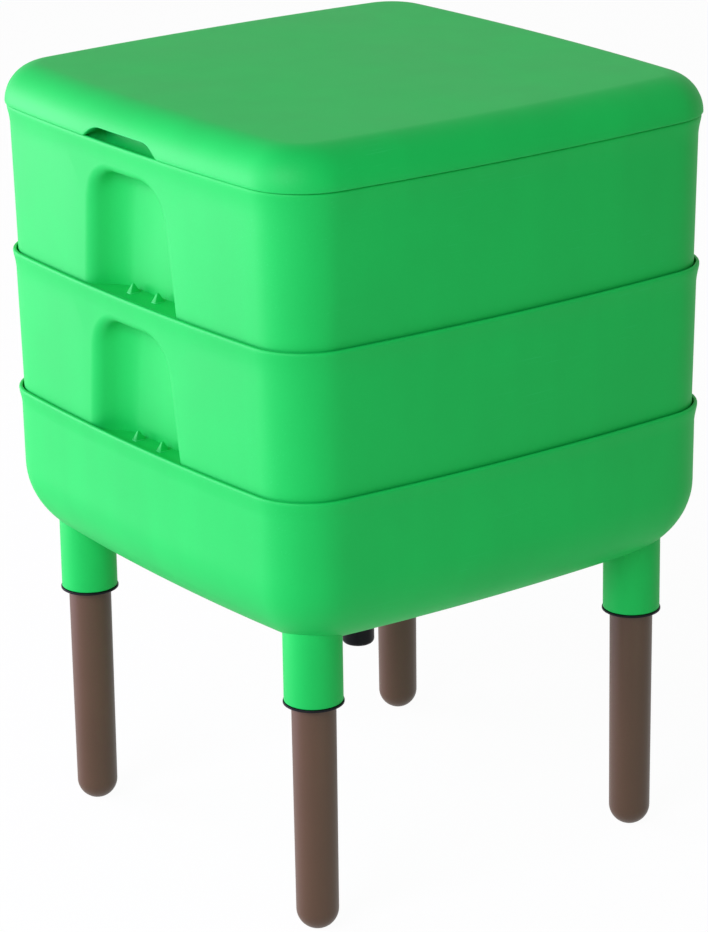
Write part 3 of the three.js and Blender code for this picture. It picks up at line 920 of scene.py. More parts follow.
@dataclass(frozen=True)
class Rim:
    """A beaded rim, which is as wide as the plan."""

    proud: float = 1.7
    thickness: float = 2.5
    mouth_depth: float = 4.3
    mouth_rows: int = 3
    wall: float = 2.4
    edge: float = 0.4
    edge_steps: int = 3
    bead: tuple[Pair, ...] = (
        (-0.2, 13.2),
        (-0.02, 11.4),
        (0.24, 9.6),
        (0.56, 7.8),
        (0.9, 6.2),
        (1.22, 4.7),
        (1.47, 3.4),
        (1.63, 2.4),
        (1.68, 1.7),
        (1.64, 1.1),
        (1.44, 0.55),
        (1.1, 0.14),
        (0.7, 0.0),
    )

    @property
    def wall_top(self) -> float:
        """The wall's outer half width under the bead."""
        return PLAN.rim_half - self.proud

    @property
    def mouth(self) -> float:
        """The rim's inner half width."""
        return PLAN.rim_half - self.thickness

    def profile(self, top: float) -> Profile:
        """Return the section from under the bead over the rim to the wall inside it.

        Args:
            top: The rim's height.

        Returns:
            The section as (half width, height) levels.
        """
        outside = [(self.wall_top + out, top - below) for out, below in self.bead]
        lip = [
            (self.mouth + self.edge * (1 - sine), top - self.edge * (1 - cosine))
            for cosine, sine in quarter_arc(self.edge_steps)
        ]
        inside = self.wall_top - self.wall
        return [
            *outside,
            *lip,
            (self.mouth, top - self.mouth_depth),
            (inside, top - self.mouth_depth - (self.mouth - inside)),
        ]


RIM = Rim()


def level(
    half: float, height: float, columns: Sequence[float], corner: float | None = None
) -> Outline:
    """Return the plan outline at a half width and a height, as points in space."""
    return [Vector((*point, height)) for point in PLAN.outline(half, columns, corner)]


# Trays


@dataclass(frozen=True)
class Recess:
    """A hand recess in a tray's wall, over a ledge."""

    depth: float = 20.5
    ledge: float = 17.2
    top: float = 102.3
    top_half: float = 42.0
    foot_half: float = 52.0
    splay: float = 0.7
    corner: float = 28.0
    face_round: float = 6.0
    back_round: float = 12.0
    arch_steps: int = 24
    round_steps: int = 8

    def half_at(self, height: float) -> float:
        """Return half of the recess's width at a height, where it meets the tray's face."""
        share = (self.top - height) / (self.top - self.ledge)
        return self.top_half + (self.foot_half - self.top_half) * share

    def arch(self, across: float, up: float, foot: float) -> Outline:
        """Return the recess's outline as (across, height), from foot to foot.

        Args:
            across: How far its sides are let out.
            up: How far its top is let out.
            foot: The height that it stands on.

        Returns:
            The outline's points.
        """
        foot_half = self.half_at(foot) + across
        top_half = self.top_half + across
        top = self.top + up
        corner = self.corner + across
        return filleted(
            [
                (-foot_half, foot, 0.0),
                (-top_half, top, corner),
                (top_half, top, corner),
                (foot_half, foot, 0.0),
            ],
            self.arch_steps,
        )


@dataclass(frozen=True)
class Tray:
    """A working tray: tapered walls with two hand recesses, a nesting foot, a perforated floor."""

    body: Body
    foot: float
    height: float = 123.0
    taper: float = 0.021
    wall: float = 2.4
    floor: float = 3.0
    bottom_round: float = 5.0
    bottom_steps: int = 5
    nest_step: float = 1.6
    nest_from: float = 16.0
    nest_to: float = 17.0
    window_half: float = 70.0
    window_top: float = 109.3
    window_rows: int = 12
    window_columns: int = 14
    far_columns: tuple[float, ...] = (82.0, 94.0, 106.0, 118.0, 130.0)
    hole_radius: float = 4.0
    hole_pitch: float = 42.0
    hole_rows: int = 7
    hole_sides: int = 16
    lug_offset: float = 15.0
    lug_clear: float = 3.4
    lug_length: float = 8.4
    lug_width: float = 5.0
    lug_height: float = 6.4
    lug_round: float = 0.8
    lug_shares: tuple[Pair, ...] = (
        (1.0, -0.1),
        (1.0, 0.0),
        (0.66, 0.4),
        (0.36, 0.76),
        (0.24, 0.9),
        (0.14, 0.98),
        (0.05, 1.0),
    )
    housing_round: float = 1.0
    housing_steps: int = 3
    pocket_round: float = 1.5
    fine_steps: int = 3
    recess: Recess = field(default_factory=Recess)

    def wall_at(self, height: float) -> float:
        """Return the wall's outer half width at a height."""
        return RIM.wall_top - (self.height - height) * self.taper

    def inside_at(self, height: float) -> float:
        """Return the wall's inner half width, which is straight from the floor to the rim.

        Args:
            height: The height above the foot.

        Returns:
            The half width.
        """
        low = self.wall_at(self.floor) - self.nest_step - self.wall
        high = RIM.wall_top - self.wall
        mouth = self.height - RIM.mouth_depth - (RIM.mouth - high)
        return low + (high - low) * (height - self.floor) / (mouth - self.floor)

    def back_at(self, height: float) -> float:
        """Return how far out from the middle the recess's back stands at a height."""
        return self.wall_at(0.0) + PLAN.side_bow + self.taper * height - self.recess.depth

    def columns(self, flare: float, window: float) -> list[float]:
        """Return the stations across a side, with one at a recess's flare and one at its window."""
        inner = spread(0.0, flare, self.window_columns)
        return both_ways([*inner, window, *self.far_columns])

    def window(self, skin: Skin, band: list[Row], side: Side, columns: list[float]) -> Row:
        """Take the faces round a recess out of a band of rows.

        Args:
            skin: The tray's skin.
            band: The band's rows, from the lowest up.
            side: The side to open.
            columns: The rows' stations across a side.

        Returns:
            The vertices that frame the opening, from its left foot over its top to its right foot.
        """
        offset = side.value * PLAN.per_side(columns)
        reach = self.window_columns + 1
        middle = offset + len(columns) // 2
        grid = [row[middle - reach : middle + reach + 1] for row in band]
        inside = {vertex for line in grid for vertex in line}
        faces = {
            face
            for vertex in inside
            for face in vertex.link_faces
            if all(other in inside for other in face.verts)
        }
        bmesh.ops.delete(skin.mesh, geom=list(faces), context="FACES")
        *under, top = grid
        return [line[0] for line in under] + top + [line[-1] for line in reversed(under)]

    def dent(
        self,
        skin: Skin,
        frame: Row,
        side: Side,
        foot: float,
        levels: list[DentLevel],
    ) -> None:
        """Grow a recess, or the housing round one, from the frame of its opening.

        Args:
            skin: The tray's skin.
            frame: The opening's frame.
            side: The side that it is on.
            foot: The height that the recess stands on.
            levels: For each new row, how far the recess's outline is let out across and up, and
                how far out from the middle the row stands at a place across and up.
        """
        origin = Vector((0.0, foot))
        sign = 1 if side is Side.FRONT else -1
        spots = [Vector((sign * vertex.co.x, vertex.co.z)) for vertex in frame]
        headings = [(spot - origin).normalized() for spot in spots]
        row = frame
        for across, up, out_at in levels:
            line = self.recess.arch(across, up, foot)
            hits = [reached(line, origin, heading) for heading in headings]
            points = [side.place(hit.x, out_at(hit.x, hit.y), hit.y) for hit in hits]
            row = skin.extend(row, points, False)
        skin.cap([*skin.edges(row, False), skin.join(row[-1], row[0])])

    def recess_levels(self) -> list[DentLevel]:
        """Work out a recess's rows.

        Returns:
            The rows, from its flare at the wall to its back.
        """
        recess = self.recess
        steps = quarter_arc(recess.round_steps)
        levels: list[DentLevel] = []
        for cosine, sine in steps:
            sunk = recess.face_round * (1 - cosine)
            flare = recess.face_round * (1 - sine)
            levels.append(
                (
                    flare - recess.splay * sunk,
                    flare,
                    lambda x, z, sunk=sunk: self.wall_at(z) + PLAN.bulge(x) - sunk,
                )
            )
        for cosine, sine in steps:
            clear = recess.back_round * (1 - sine)
            inset = -recess.back_round * (1 - cosine)
            across = inset - recess.splay * (recess.depth - clear)
            levels.append((across, inset, lambda x, z, clear=clear: self.back_at(z) + clear))
        return levels

    def housing_levels(self) -> list[DentLevel]:
        """Work out the rows of the wall that houses a recess inside the tray.

        Returns:
            The rows, from the tray's wall to the housing's back.
        """
        recess = self.recess
        side_wall = self.wall * math.hypot(1.0, recess.splay)
        back = recess.depth + self.wall
        rounded = back - recess.back_round
        wide = recess.face_round + self.wall
        narrow = side_wall - recess.splay * rounded
        slope = (wide - narrow) / (rounded + PLAN.side_bow)
        levels: list[DentLevel] = []
        for cosine, sine in quarter_arc(self.housing_steps):
            sunk = self.housing_round * (1 - cosine)
            flare = self.housing_round * (1 - sine)
            across = wide - slope * (PLAN.side_bow + self.wall + sunk) + flare
            levels.append(
                (
                    across,
                    self.wall + flare,
                    lambda x, z, sunk=sunk: self.inside_at(z) + PLAN.bulge(x) - sunk,
                )
            )
        for cosine, sine in quarter_arc(recess.round_steps):
            clear = recess.back_round * (1 - sine) - self.wall
            inset = -recess.back_round * (1 - cosine)
            across = side_wall + inset - recess.splay * (recess.depth - clear)
            up = self.wall + inset
            levels.append((across, up, lambda x, z, clear=clear: self.back_at(z) + clear))
        return levels

    def shell(self, skin: Skin) -> None:
        """Grow the walls from the foot's underside over the rim and down to the floor inside.

        Args:
            skin: The tray's skin.
        """
        flare = self.recess.foot_half + self.recess.face_round
        outer = self.columns(flare, self.window_half)
        inner = self.columns(flare, self.window_half - self.wall)
        edge = self.wall_at(self.bottom_round) - self.nest_step
        rounding = [
            (edge - self.bottom_round * (1 - sine), self.bottom_round * (1 - cosine))
            for cosine, sine in quarter_arc(self.bottom_steps)
        ]
        nested = [
            (self.wall_at(self.nest_from) - self.nest_step, self.nest_from),
            (self.wall_at(self.nest_to), self.nest_to),
        ]
        heights = spread(self.recess.ledge, self.window_top, self.window_rows)
        row = skin.ring(level(*rounding[0], outer))
        for half, height in rounding[1:] + nested:
            row = skin.extend(row, level(half, height, outer))
        band = []
        for height in heights:
            row = skin.extend(row, level(self.wall_at(height), height, outer))
            band.append(row)
        section = RIM.profile(self.height)
        for half, height in section[: -RIM.mouth_rows]:
            row = skin.extend(row, level(half, height, outer))
        for half, height in section[-RIM.mouth_rows :]:
            row = skin.extend(row, level(half, height, inner))
        housing_band = []
        for height in reversed(spread(self.floor, self.window_top, self.window_rows)):
            row = skin.extend(row, level(self.inside_at(height), height, inner))
            housing_band.insert(0, row)
        for side in Side:
            frame = self.window(skin, band, side, outer)
            self.dent(skin, frame, side, self.recess.ledge, self.recess_levels())
            frame = self.window(skin, housing_band, side, inner)
            self.dent(skin, frame, side, self.floor, self.housing_levels())

    def ledges(self, skin: Skin) -> None:
        """Close the ledge at the foot of each recess, and stand the lugs on it.

        Args:
            skin: The tray's skin.
        """
        bmesh.ops.remove_doubles(skin.mesh, verts=skin.mesh.verts, dist=MERGE)
        for side in Side:
            out = side.place(0.0, 1.0, 0.0)
            here = {
                vertex
                for vertex in skin.mesh.verts
                if abs(vertex.co.z - self.recess.ledge) < MERGE and vertex.co.dot(out) > 0
            }
            rims = [edge for edge in skin.mesh.edges if edge.is_boundary]
            skin.cap([edge for edge in rims if here.issuperset(edge.verts)])
            for across in (-self.lug_offset, self.lug_offset):
                self.lug(skin, side, across)

    def lug(self, skin: Skin, side: Side, across: float) -> None:
        """Stand a small pointed lug on a ledge.

        Args:
            skin: The tray's skin.
            side: The side that the ledge is on.
            across: How far across the side the lug stands.
        """
        low = self.recess.ledge
        middle = self.back_at(low) + self.lug_clear + self.lug_length / 2
        width, length = self.lug_width / 2, self.lug_length / 2
        corners = [(-width, -length), (width, -length), (width, length), (-width, length)]
        line = filleted([(x, y, self.lug_round) for x, y in corners], self.fine_steps, True)
        rows = []
        for share, up in self.lug_shares:
            height = low + self.lug_height * up
            spots = [(across + point.x * share, middle + point.y * share) for point in line]
            rows.append([side.place(*spot, height) for spot in spots])
        row = skin.ring(rows[0])
        skin.cap(skin.edges(row))
        for points in rows[1:]:
            row = skin.extend(row, points)
        skin.cap(skin.edges(row))

    def pockets(self, skin: Skin) -> None:
        """Sink the pocket under each ledge from the tray's underside.

        Args:
            skin: The tray's skin.
        """
        half = self.recess.foot_half - self.wall
        near = self.back_at(0.0)
        edge = self.wall_at(0.0) - self.nest_step - self.bottom_round
        far = edge + PLAN.side_bow - self.wall
        back = half - self.recess.splay * self.recess.depth
        front = back + self.recess.splay * (far - near)
        corners = [(-back, near), (back, near), (front, far), (-front, far)]
        line = filleted([(x, y, self.pocket_round) for x, y in corners], self.fine_steps, True)
        for side in Side:
            row = skin.ring([side.place(point.x, point.y, 0.0) for point in line])
            top = self.recess.ledge - self.wall
            row = skin.extend(row, [side.place(point.x, point.y, top) for point in line])
            skin.cap(skin.edges(row))

    def holes(self, skin: Skin) -> None:
        """Line the floor's holes.

        Args:
            skin: The tray's skin.
        """
        reach = (self.hole_rows - 1) / 2 * self.hole_pitch
        places = spread(-reach, reach, self.hole_rows - 1)
        angles = [2 * math.pi * i / self.hole_sides for i in range(self.hole_sides)]
        spokes = [Vector((math.cos(angle), math.sin(angle), 0.0)) for angle in angles]
        for y in places:
            for x in places:
                centre = Vector((x, y, 0.0))
                circle = [centre + self.hole_radius * spoke for spoke in spokes]
                row = skin.ring(circle)
                skin.extend(row, [point + Vector((0.0, 0.0, self.floor)) for point in circle])

    def build(self) -> None:
        """Build and dress the tray."""
        skin = Skin()
        self.shell(skin)
        self.ledges(skin)
        self.pockets(skin)
        self.holes(skin)
        skin.fill(0.0)
        skin.fill(self.floor)
        node = self.body.value
        Piece(node + "_moulding", self.body, GREEN, (node,)).publish(skin, self.foot)


TRAYS = (Tray(Body.LOWER_TRAY, foot=300.6), Tray(Body.UPPER_TRAY, foot=405.6))


# Collector base, legs and collars


@dataclass(frozen=True)
class Stand:
    """The collector base with its leg sockets and sump, and the legs and collars under it."""

    bottom: float = 205.5
    height: float = 116.5
    rounding: float = 59.6
    rounding_steps: int = 22
    corner_share: float = 0.6
    taper: float = 0.012
    wall: float = 2.4
    flat_inset: float = 6.0
    flat_sharper: float = 3.0
    column_reach: float = 132.0
    column_steps: int = 16
    sump_radius: float = 35.0
    sump_drop: float = 7.0
    sump_floor: float = 3.0
    sump_rounds: Pair = (1.2, 0.6)
    drain_radius: float = 10.5
    leg_place: float = 139.5
    socket_radius: float = 20.2
    socket_drop: float = 37.8
    socket_bore: float = 15.8
    socket_depth: float = 26.5
    socket_round: float = 0.7
    tower_top: float = 94.8
    tower_round: float = 1.5
    tower_bore: float = 12.8
    tower_cap: float = 4.4
    turned_steps: int = 4
    leg_length: float = 231.7
    leg_shown: float = 167.7
    foot_radius: float = 14.7
    top_radius: float = 15.5
    top_round: float = 0.5
    foot_flat: float = 4.0
    foot_steps: int = 12
    hollow_steps: int = 6
    leg_wall: float = 2.5
    collar_thickness: float = 1.5
    collar_proud: float = 0.7
    collar_round: float = 0.35
    fine_steps: int = 3
    clearance: float = 0.3
    facets: int = 64

    def wall_at(self, height: float) -> float:
        """Return the wall's outer half width at a height above the base's bottom."""
        return RIM.wall_top - (self.height - height) * self.taper

    def rounded_levels(self, wall: float) -> list[Triple]:
        """Work out the levels of the rounded bottom.

        Args:
            wall: How far the surface is set in from the outside.

        Returns:
            The levels as (half width, height, corner radius), from the lowest up.
        """
        radius = self.rounding - wall
        half = self.wall_at(self.rounding) - wall
        corner = PLAN.corner_radius + half - PLAN.rim_half
        levels = []
        for cosine, sine in quarter_arc(self.rounding_steps):
            drawn_in = radius * (1 - cosine)
            height = self.rounding - radius * sine
            levels.append((half - drawn_in, height, corner - drawn_in * self.corner_share))
        return levels[::-1]

    def flat_ring(self, wall: float) -> Triple:
        """Return a level a little inside the rounded bottom's first, so that it ends flat."""
        half, height, corner = self.rounded_levels(wall)[0]
        return (half - self.flat_inset, height, corner - self.flat_sharper)

    def base_skin(self) -> Skin:
        """Grow the base's shell from its bottom over the rim and down inside, with the sump.

        Returns:
            The shell, without sockets or towers.
        """
        columns = both_ways(spread(0.0, self.column_reach, self.column_steps))
        skin = Skin()
        inside = self.rounded_levels(self.wall)
        rows = [self.flat_ring(0.0), *self.rounded_levels(0.0)]
        half, height, corner = rows[0]
        row = skin.ring(level(half, height, columns, corner))
        for half, height, corner in rows[1:]:
            row = skin.extend(row, level(half, height, columns, corner))
        for half, height in RIM.profile(self.height):
            row = skin.extend(row, level(half, height, columns))
        for half, height, corner in [*inside[::-1], self.flat_ring(self.wall)]:
            row = skin.extend(row, level(half, height, columns, corner))
        low = -self.sump_drop
        well = low + self.sump_floor
        outside = self.sump_radius + self.wall
        outer_round, inner_round = self.sump_rounds
        line = filleted(
            [
                (outside, 0.0, 0.0),
                (outside, low, outer_round),
                (self.drain_radius, low, 0.0),
                (self.drain_radius, well, 0.0),
                (self.sump_radius, well, inner_round),
                (self.sump_radius, self.wall, 0.0),
            ],
            self.turned_steps,
        )
        skin.turn(line, self.facets)
        skin.fill(0.0)
        skin.fill(self.wall)
        return skin

    def base(self) -> None:
        """Build and dress the collector base."""
        foot, mouth = -self.socket_drop, -self.socket_drop - self.wall
        ceiling = self.tower_top - self.tower_cap
        tower = filleted(
            [
                (0.0, foot, 0.0),
                (self.socket_radius, foot, self.socket_round),
                (self.socket_radius, self.tower_top, self.tower_round),
                (0.0, self.tower_top, 0.0),
            ],
            self.turned_steps,
        )
        bore = points_of(
            [
                (0.0, mouth),
                (self.socket_bore, mouth),
                (self.socket_bore, self.socket_depth),
                (self.tower_bore, self.socket_depth),
                (self.tower_bore, ceiling),
                (0.0, ceiling),
            ]
        )
        towers, bores = Skin(), Skin()
        for corner in Corner:
            towers.turn(tower, self.facets, self.leg_at(corner))
            bores.turn(bore, self.facets, self.leg_at(corner))
        cuts = [Cut(towers, Operation.ADD), Cut(bores)]
        piece = Piece("collector_base_moulding", Body.BASE, GREEN, ("collector_base",))
        piece.publish(self.base_skin(), self.bottom, cuts)

    def leg_at(self, corner: Corner) -> Pair:
        """Return the X and Y of a corner's leg."""
        return (corner.value[0] * self.leg_place, corner.value[1] * self.leg_place)

    def leg(self, corner: Corner) -> None:
        """Build and dress one leg.

        Args:
            corner: The corner that it stands at.
        """
        centre = math.sqrt(self.foot_radius**2 - self.foot_flat**2)
        middle = Vector((0.0, centre))
        start = Vector((self.foot_flat, 0.0))
        opening = math.atan2(self.foot_flat, centre)
        outside = arc(middle, start, math.pi / 2 - opening, self.foot_steps)
        hollow = self.foot_radius - self.leg_wall
        steps = quarter_arc(self.hollow_steps)
        inside = points_of([(hollow * cosine, centre - hollow * sine) for cosine, sine in steps])
        mouth = filleted(
            [
                (*outside[-1], 0.0),
                (self.top_radius, self.leg_length, self.top_round),
                (self.top_radius - self.leg_wall, self.leg_length, self.top_round),
                (*inside[0], 0.0),
            ],
            self.fine_steps,
        )
        skin = Skin()
        line = [Vector((0.0, 0.0)), *outside[:-1], *mouth[:-1], *inside]
        skin.turn(line, self.facets, self.leg_at(corner))
        name = corner.name.lower()
        Piece("leg_tube_" + name, Body.BASE, BROWN, ("leg_" + name,)).publish(skin)

    def collar(self, corner: Corner) -> None:
        """Build and dress one collar.

        Args:
            corner: The corner whose leg it goes round.
        """
        share = self.leg_shown / self.leg_length
        inner = self.foot_radius + (self.top_radius - self.foot_radius) * share + self.clearance
        outer = self.socket_radius + self.collar_proud
        low, high = -self.collar_thickness - self.clearance, -self.clearance
        line = ring_section((inner, outer), (low, high), self.collar_round, self.fine_steps)
        skin = Skin()
        skin.turn(line, self.facets, self.leg_at(corner))
        name = corner.name.lower()
        piece = Piece("socket_collar_" + name, Body.BASE, BLACK, ("collar_" + name,))
        piece.publish(skin, self.leg_shown)

    def build(self) -> None:
        """Build and dress the base, its legs and its collars."""
        self.base()
        for corner in Corner:
            self.leg(corner)
            self.collar(corner)


# Lid


@dataclass(frozen=True)
class Lid:
    """The lid: a shallow cover with a rounded edge, a skirt inside the rim and finger notches."""

    seat: float = 528.9
    overhang: float = 1.2
    height: float = 27.0
    wall: float = 3.0
    seat_width: float = 3.5
    skirt_drop: float = 8.0
    skirt_thickness: float = 2.2
    skirt_play: float = 2.0
    skirt_round: float = 0.7
    notch_half: float = 44.6
    notch_top_half: float = 32.5
    notch_height: float = 8.2
    notch_round: float = 22.0
    notch_steps: int = 24
    near_columns: tuple[float, ...] = (0.0, 9.0, 18.0)
    slope_from: float = 26.0
    slope_steps: int = 18
    far_columns: tuple[float, ...] = (50.0, 62.0, 76.0, 90.0, 104.0, 118.0, 130.0)
    pocket_depth: float = 11.0
    pocket_slope: float = 3.0
    pocket_round: float = 0.4
    pocket_fall: float = 0.1
    pocket_shares: Pair = (0.05, 0.95)
    middle_inset: float = 8.0
    edge: float = 0.8
    steps: int = 20
    fine_steps: int = 3

    @property
    def half(self) -> float:
        """The lid's outer half width."""
        return PLAN.rim_half + self.overhang

    @property
    def inner_half(self) -> float:
        """The half width that the rounding inside starts from."""
        return self.half - self.seat_width

    @property
    def inner_radius(self) -> float:
        """The radius of the rounding inside."""
        return self.height - self.wall

    @property
    def skirt_outer(self) -> float:
        """The skirt's outer half width."""
        return RIM.mouth - self.skirt_play

    @property
    def skirt_inner(self) -> float:
        """The skirt's inner half width."""
        return self.skirt_outer - self.skirt_thickness

    def columns(self) -> list[float]:
        """Return the stations across a side, close together along the notch's slopes."""
        slope = spread(self.slope_from, self.notch_half, self.slope_steps)
        return both_ways([*self.near_columns, *slope, *self.far_columns])

    def notches(self) -> list[float]:
        """Work out how high the notch lifts the lid's edge.

        Returns:
            The height at each point of an outline.
        """
        line = filleted(
            [
                (-self.notch_half, 0.0, 0.0),
                (-self.notch_top_half, self.notch_height, self.notch_round),
                (self.notch_top_half, self.notch_height, self.notch_round),
                (self.notch_half, 0.0, 0.0),
            ],
            self.notch_steps,
        )
        columns = self.columns()
        per_side = PLAN.per_side(columns)
        lifts = [0.0] * (4 * per_side)
        for side in Side:
            for i, across in enumerate(columns):
                for start, end in zip(line, line[1:]):
                    if start.x <= across <= end.x and end.x > start.x:
                        share = (across - start.x) / (end.x - start.x)
                        lifts[side.value * per_side + i] = start.y + (end.y - start.y) * share
        return lifts

    def row(self, lifts: list[float], section: Section) -> Outline:
        """Return one row round the lid.

        Args:
            lifts: The notch's height at each point.
            section: Gives the row's half width and height from the notch's height.

        Returns:
            The row's points.
        """
        columns = self.columns()
        known: dict[float, Outline] = {}
        points = []
        for i, lift in enumerate(lifts):
            half, height = section(lift)
            if half not in known:
                known[half] = PLAN.outline(half, columns)
            points.append(Vector((*known[half][i], height)))
        return points

    def pocket(self, lift: float) -> float:
        """Return how far the skirt is drawn in behind a notch, where the notch has this height."""
        share = min(1.0, lift / self.pocket_slope)
        return self.pocket_depth * share * share * (3.0 - 2.0 * share)

    def outer(self, share: float, lift: float) -> Pair:
        """Work out the rounded edge.

        Args:
            share: How far down the edge, from 0 at the top to 1 at the lid's foot.
            lift: The notch's height there.

        Returns:
            The half width and height.
        """
        low = math.asin((lift + self.edge) / self.height)
        angle = math.pi / 2 - (math.pi / 2 - low) * share
        return (self.half - self.height * (1 - math.cos(angle)), self.height * math.sin(angle))

    def inner(self, share: float, lift: float) -> Pair:
        """Work out the rounding inside, over the skirt.

        Args:
            share: How far up, from 0 where the skirt meets it to 1 at the top.
            lift: The notch's height there.

        Returns:
            The half width and height.
        """
        radius = self.inner_radius
        drawn_in = self.inner_half - self.skirt_inner + self.pocket(lift)
        meeting = math.acos(1 - drawn_in / radius)
        angle = meeting + (math.pi / 2 - meeting) * share
        return (self.inner_half - radius * (1 - math.cos(angle)), radius * math.sin(angle))

    def skirt(self) -> list[Section]:
        """Work out the rows of the notches' pockets and of the skirt.

        Returns:
            The rows, from the lid's foot in, down and round the skirt's lower edge.
        """
        out, inside, low = self.skirt_outer, self.skirt_inner, -self.skirt_drop
        floor = low + self.skirt_thickness
        ease, (near, far) = self.pocket_round, self.pocket_shares
        rows: list[Section] = [
            lambda lift: (out - self.pocket(lift) + ease, lift),
            lambda lift: (out - self.pocket(lift), lift - ease),
            lambda lift: (out - self.pocket(lift), floor + ease),
            lambda lift: (out - self.pocket(lift) * far, floor),
            lambda lift: (out - self.pocket(lift) * near, floor - self.pocket_fall),
        ]
        edge = self.skirt_round
        corners = [(out, 0.0, 0.0), (out, low, edge), (inside, low, edge), (inside, 0.0, 0.0)]
        foot = filleted(corners, self.fine_steps)[1:-1]
        turning = self.fine_steps + 1
        rows += [lambda lift, at=at: (at.x, at.y) for at in foot[:turning]]
        rows += [lambda lift, at=at: (at.x - self.pocket(lift), at.y) for at in foot[turning:]]
        return rows

    def sections(self) -> list[Section]:
        """Work out the lid's rows.

        Returns:
            The rows, from the middle of the top over the edge and skirt to the middle inside.
        """
        top = self.half - self.height - self.middle_inset
        ceiling = self.inner_half - self.inner_radius - self.middle_inset
        seat = [
            lambda lift, cosine=cosine, sine=sine: (
                self.outer(1.0, lift)[0] - self.edge * (1 - cosine),
                lift + self.edge * (1 - sine),
            )
            for cosine, sine in quarter_arc(self.fine_steps)[1:]
        ]
        return [
            lambda lift: (top, self.height),
            *(partial(self.outer, share) for share in spread(0.0, 1.0, self.steps)),
            *seat,
            *self.skirt(),
            *(partial(self.inner, share) for share in spread(0.0, 1.0, self.steps // 2)),
            lambda lift: (ceiling, self.inner_radius),
        ]

    def build(self) -> None:
        """Build and dress the lid."""
        skin = Skin()
        lifts = self.notches()
        first, *others = self.sections()
        row = skin.ring(self.row(lifts, first))
        skin.cap(skin.edges(row))
        for section in others:
            row = skin.extend(row, self.row(lifts, section))
        skin.cap(skin.edges(row))
        Piece("lid_cover", Body.LID, GREEN, ("lid",)).publish(skin, self.seat)


# Tap and drain


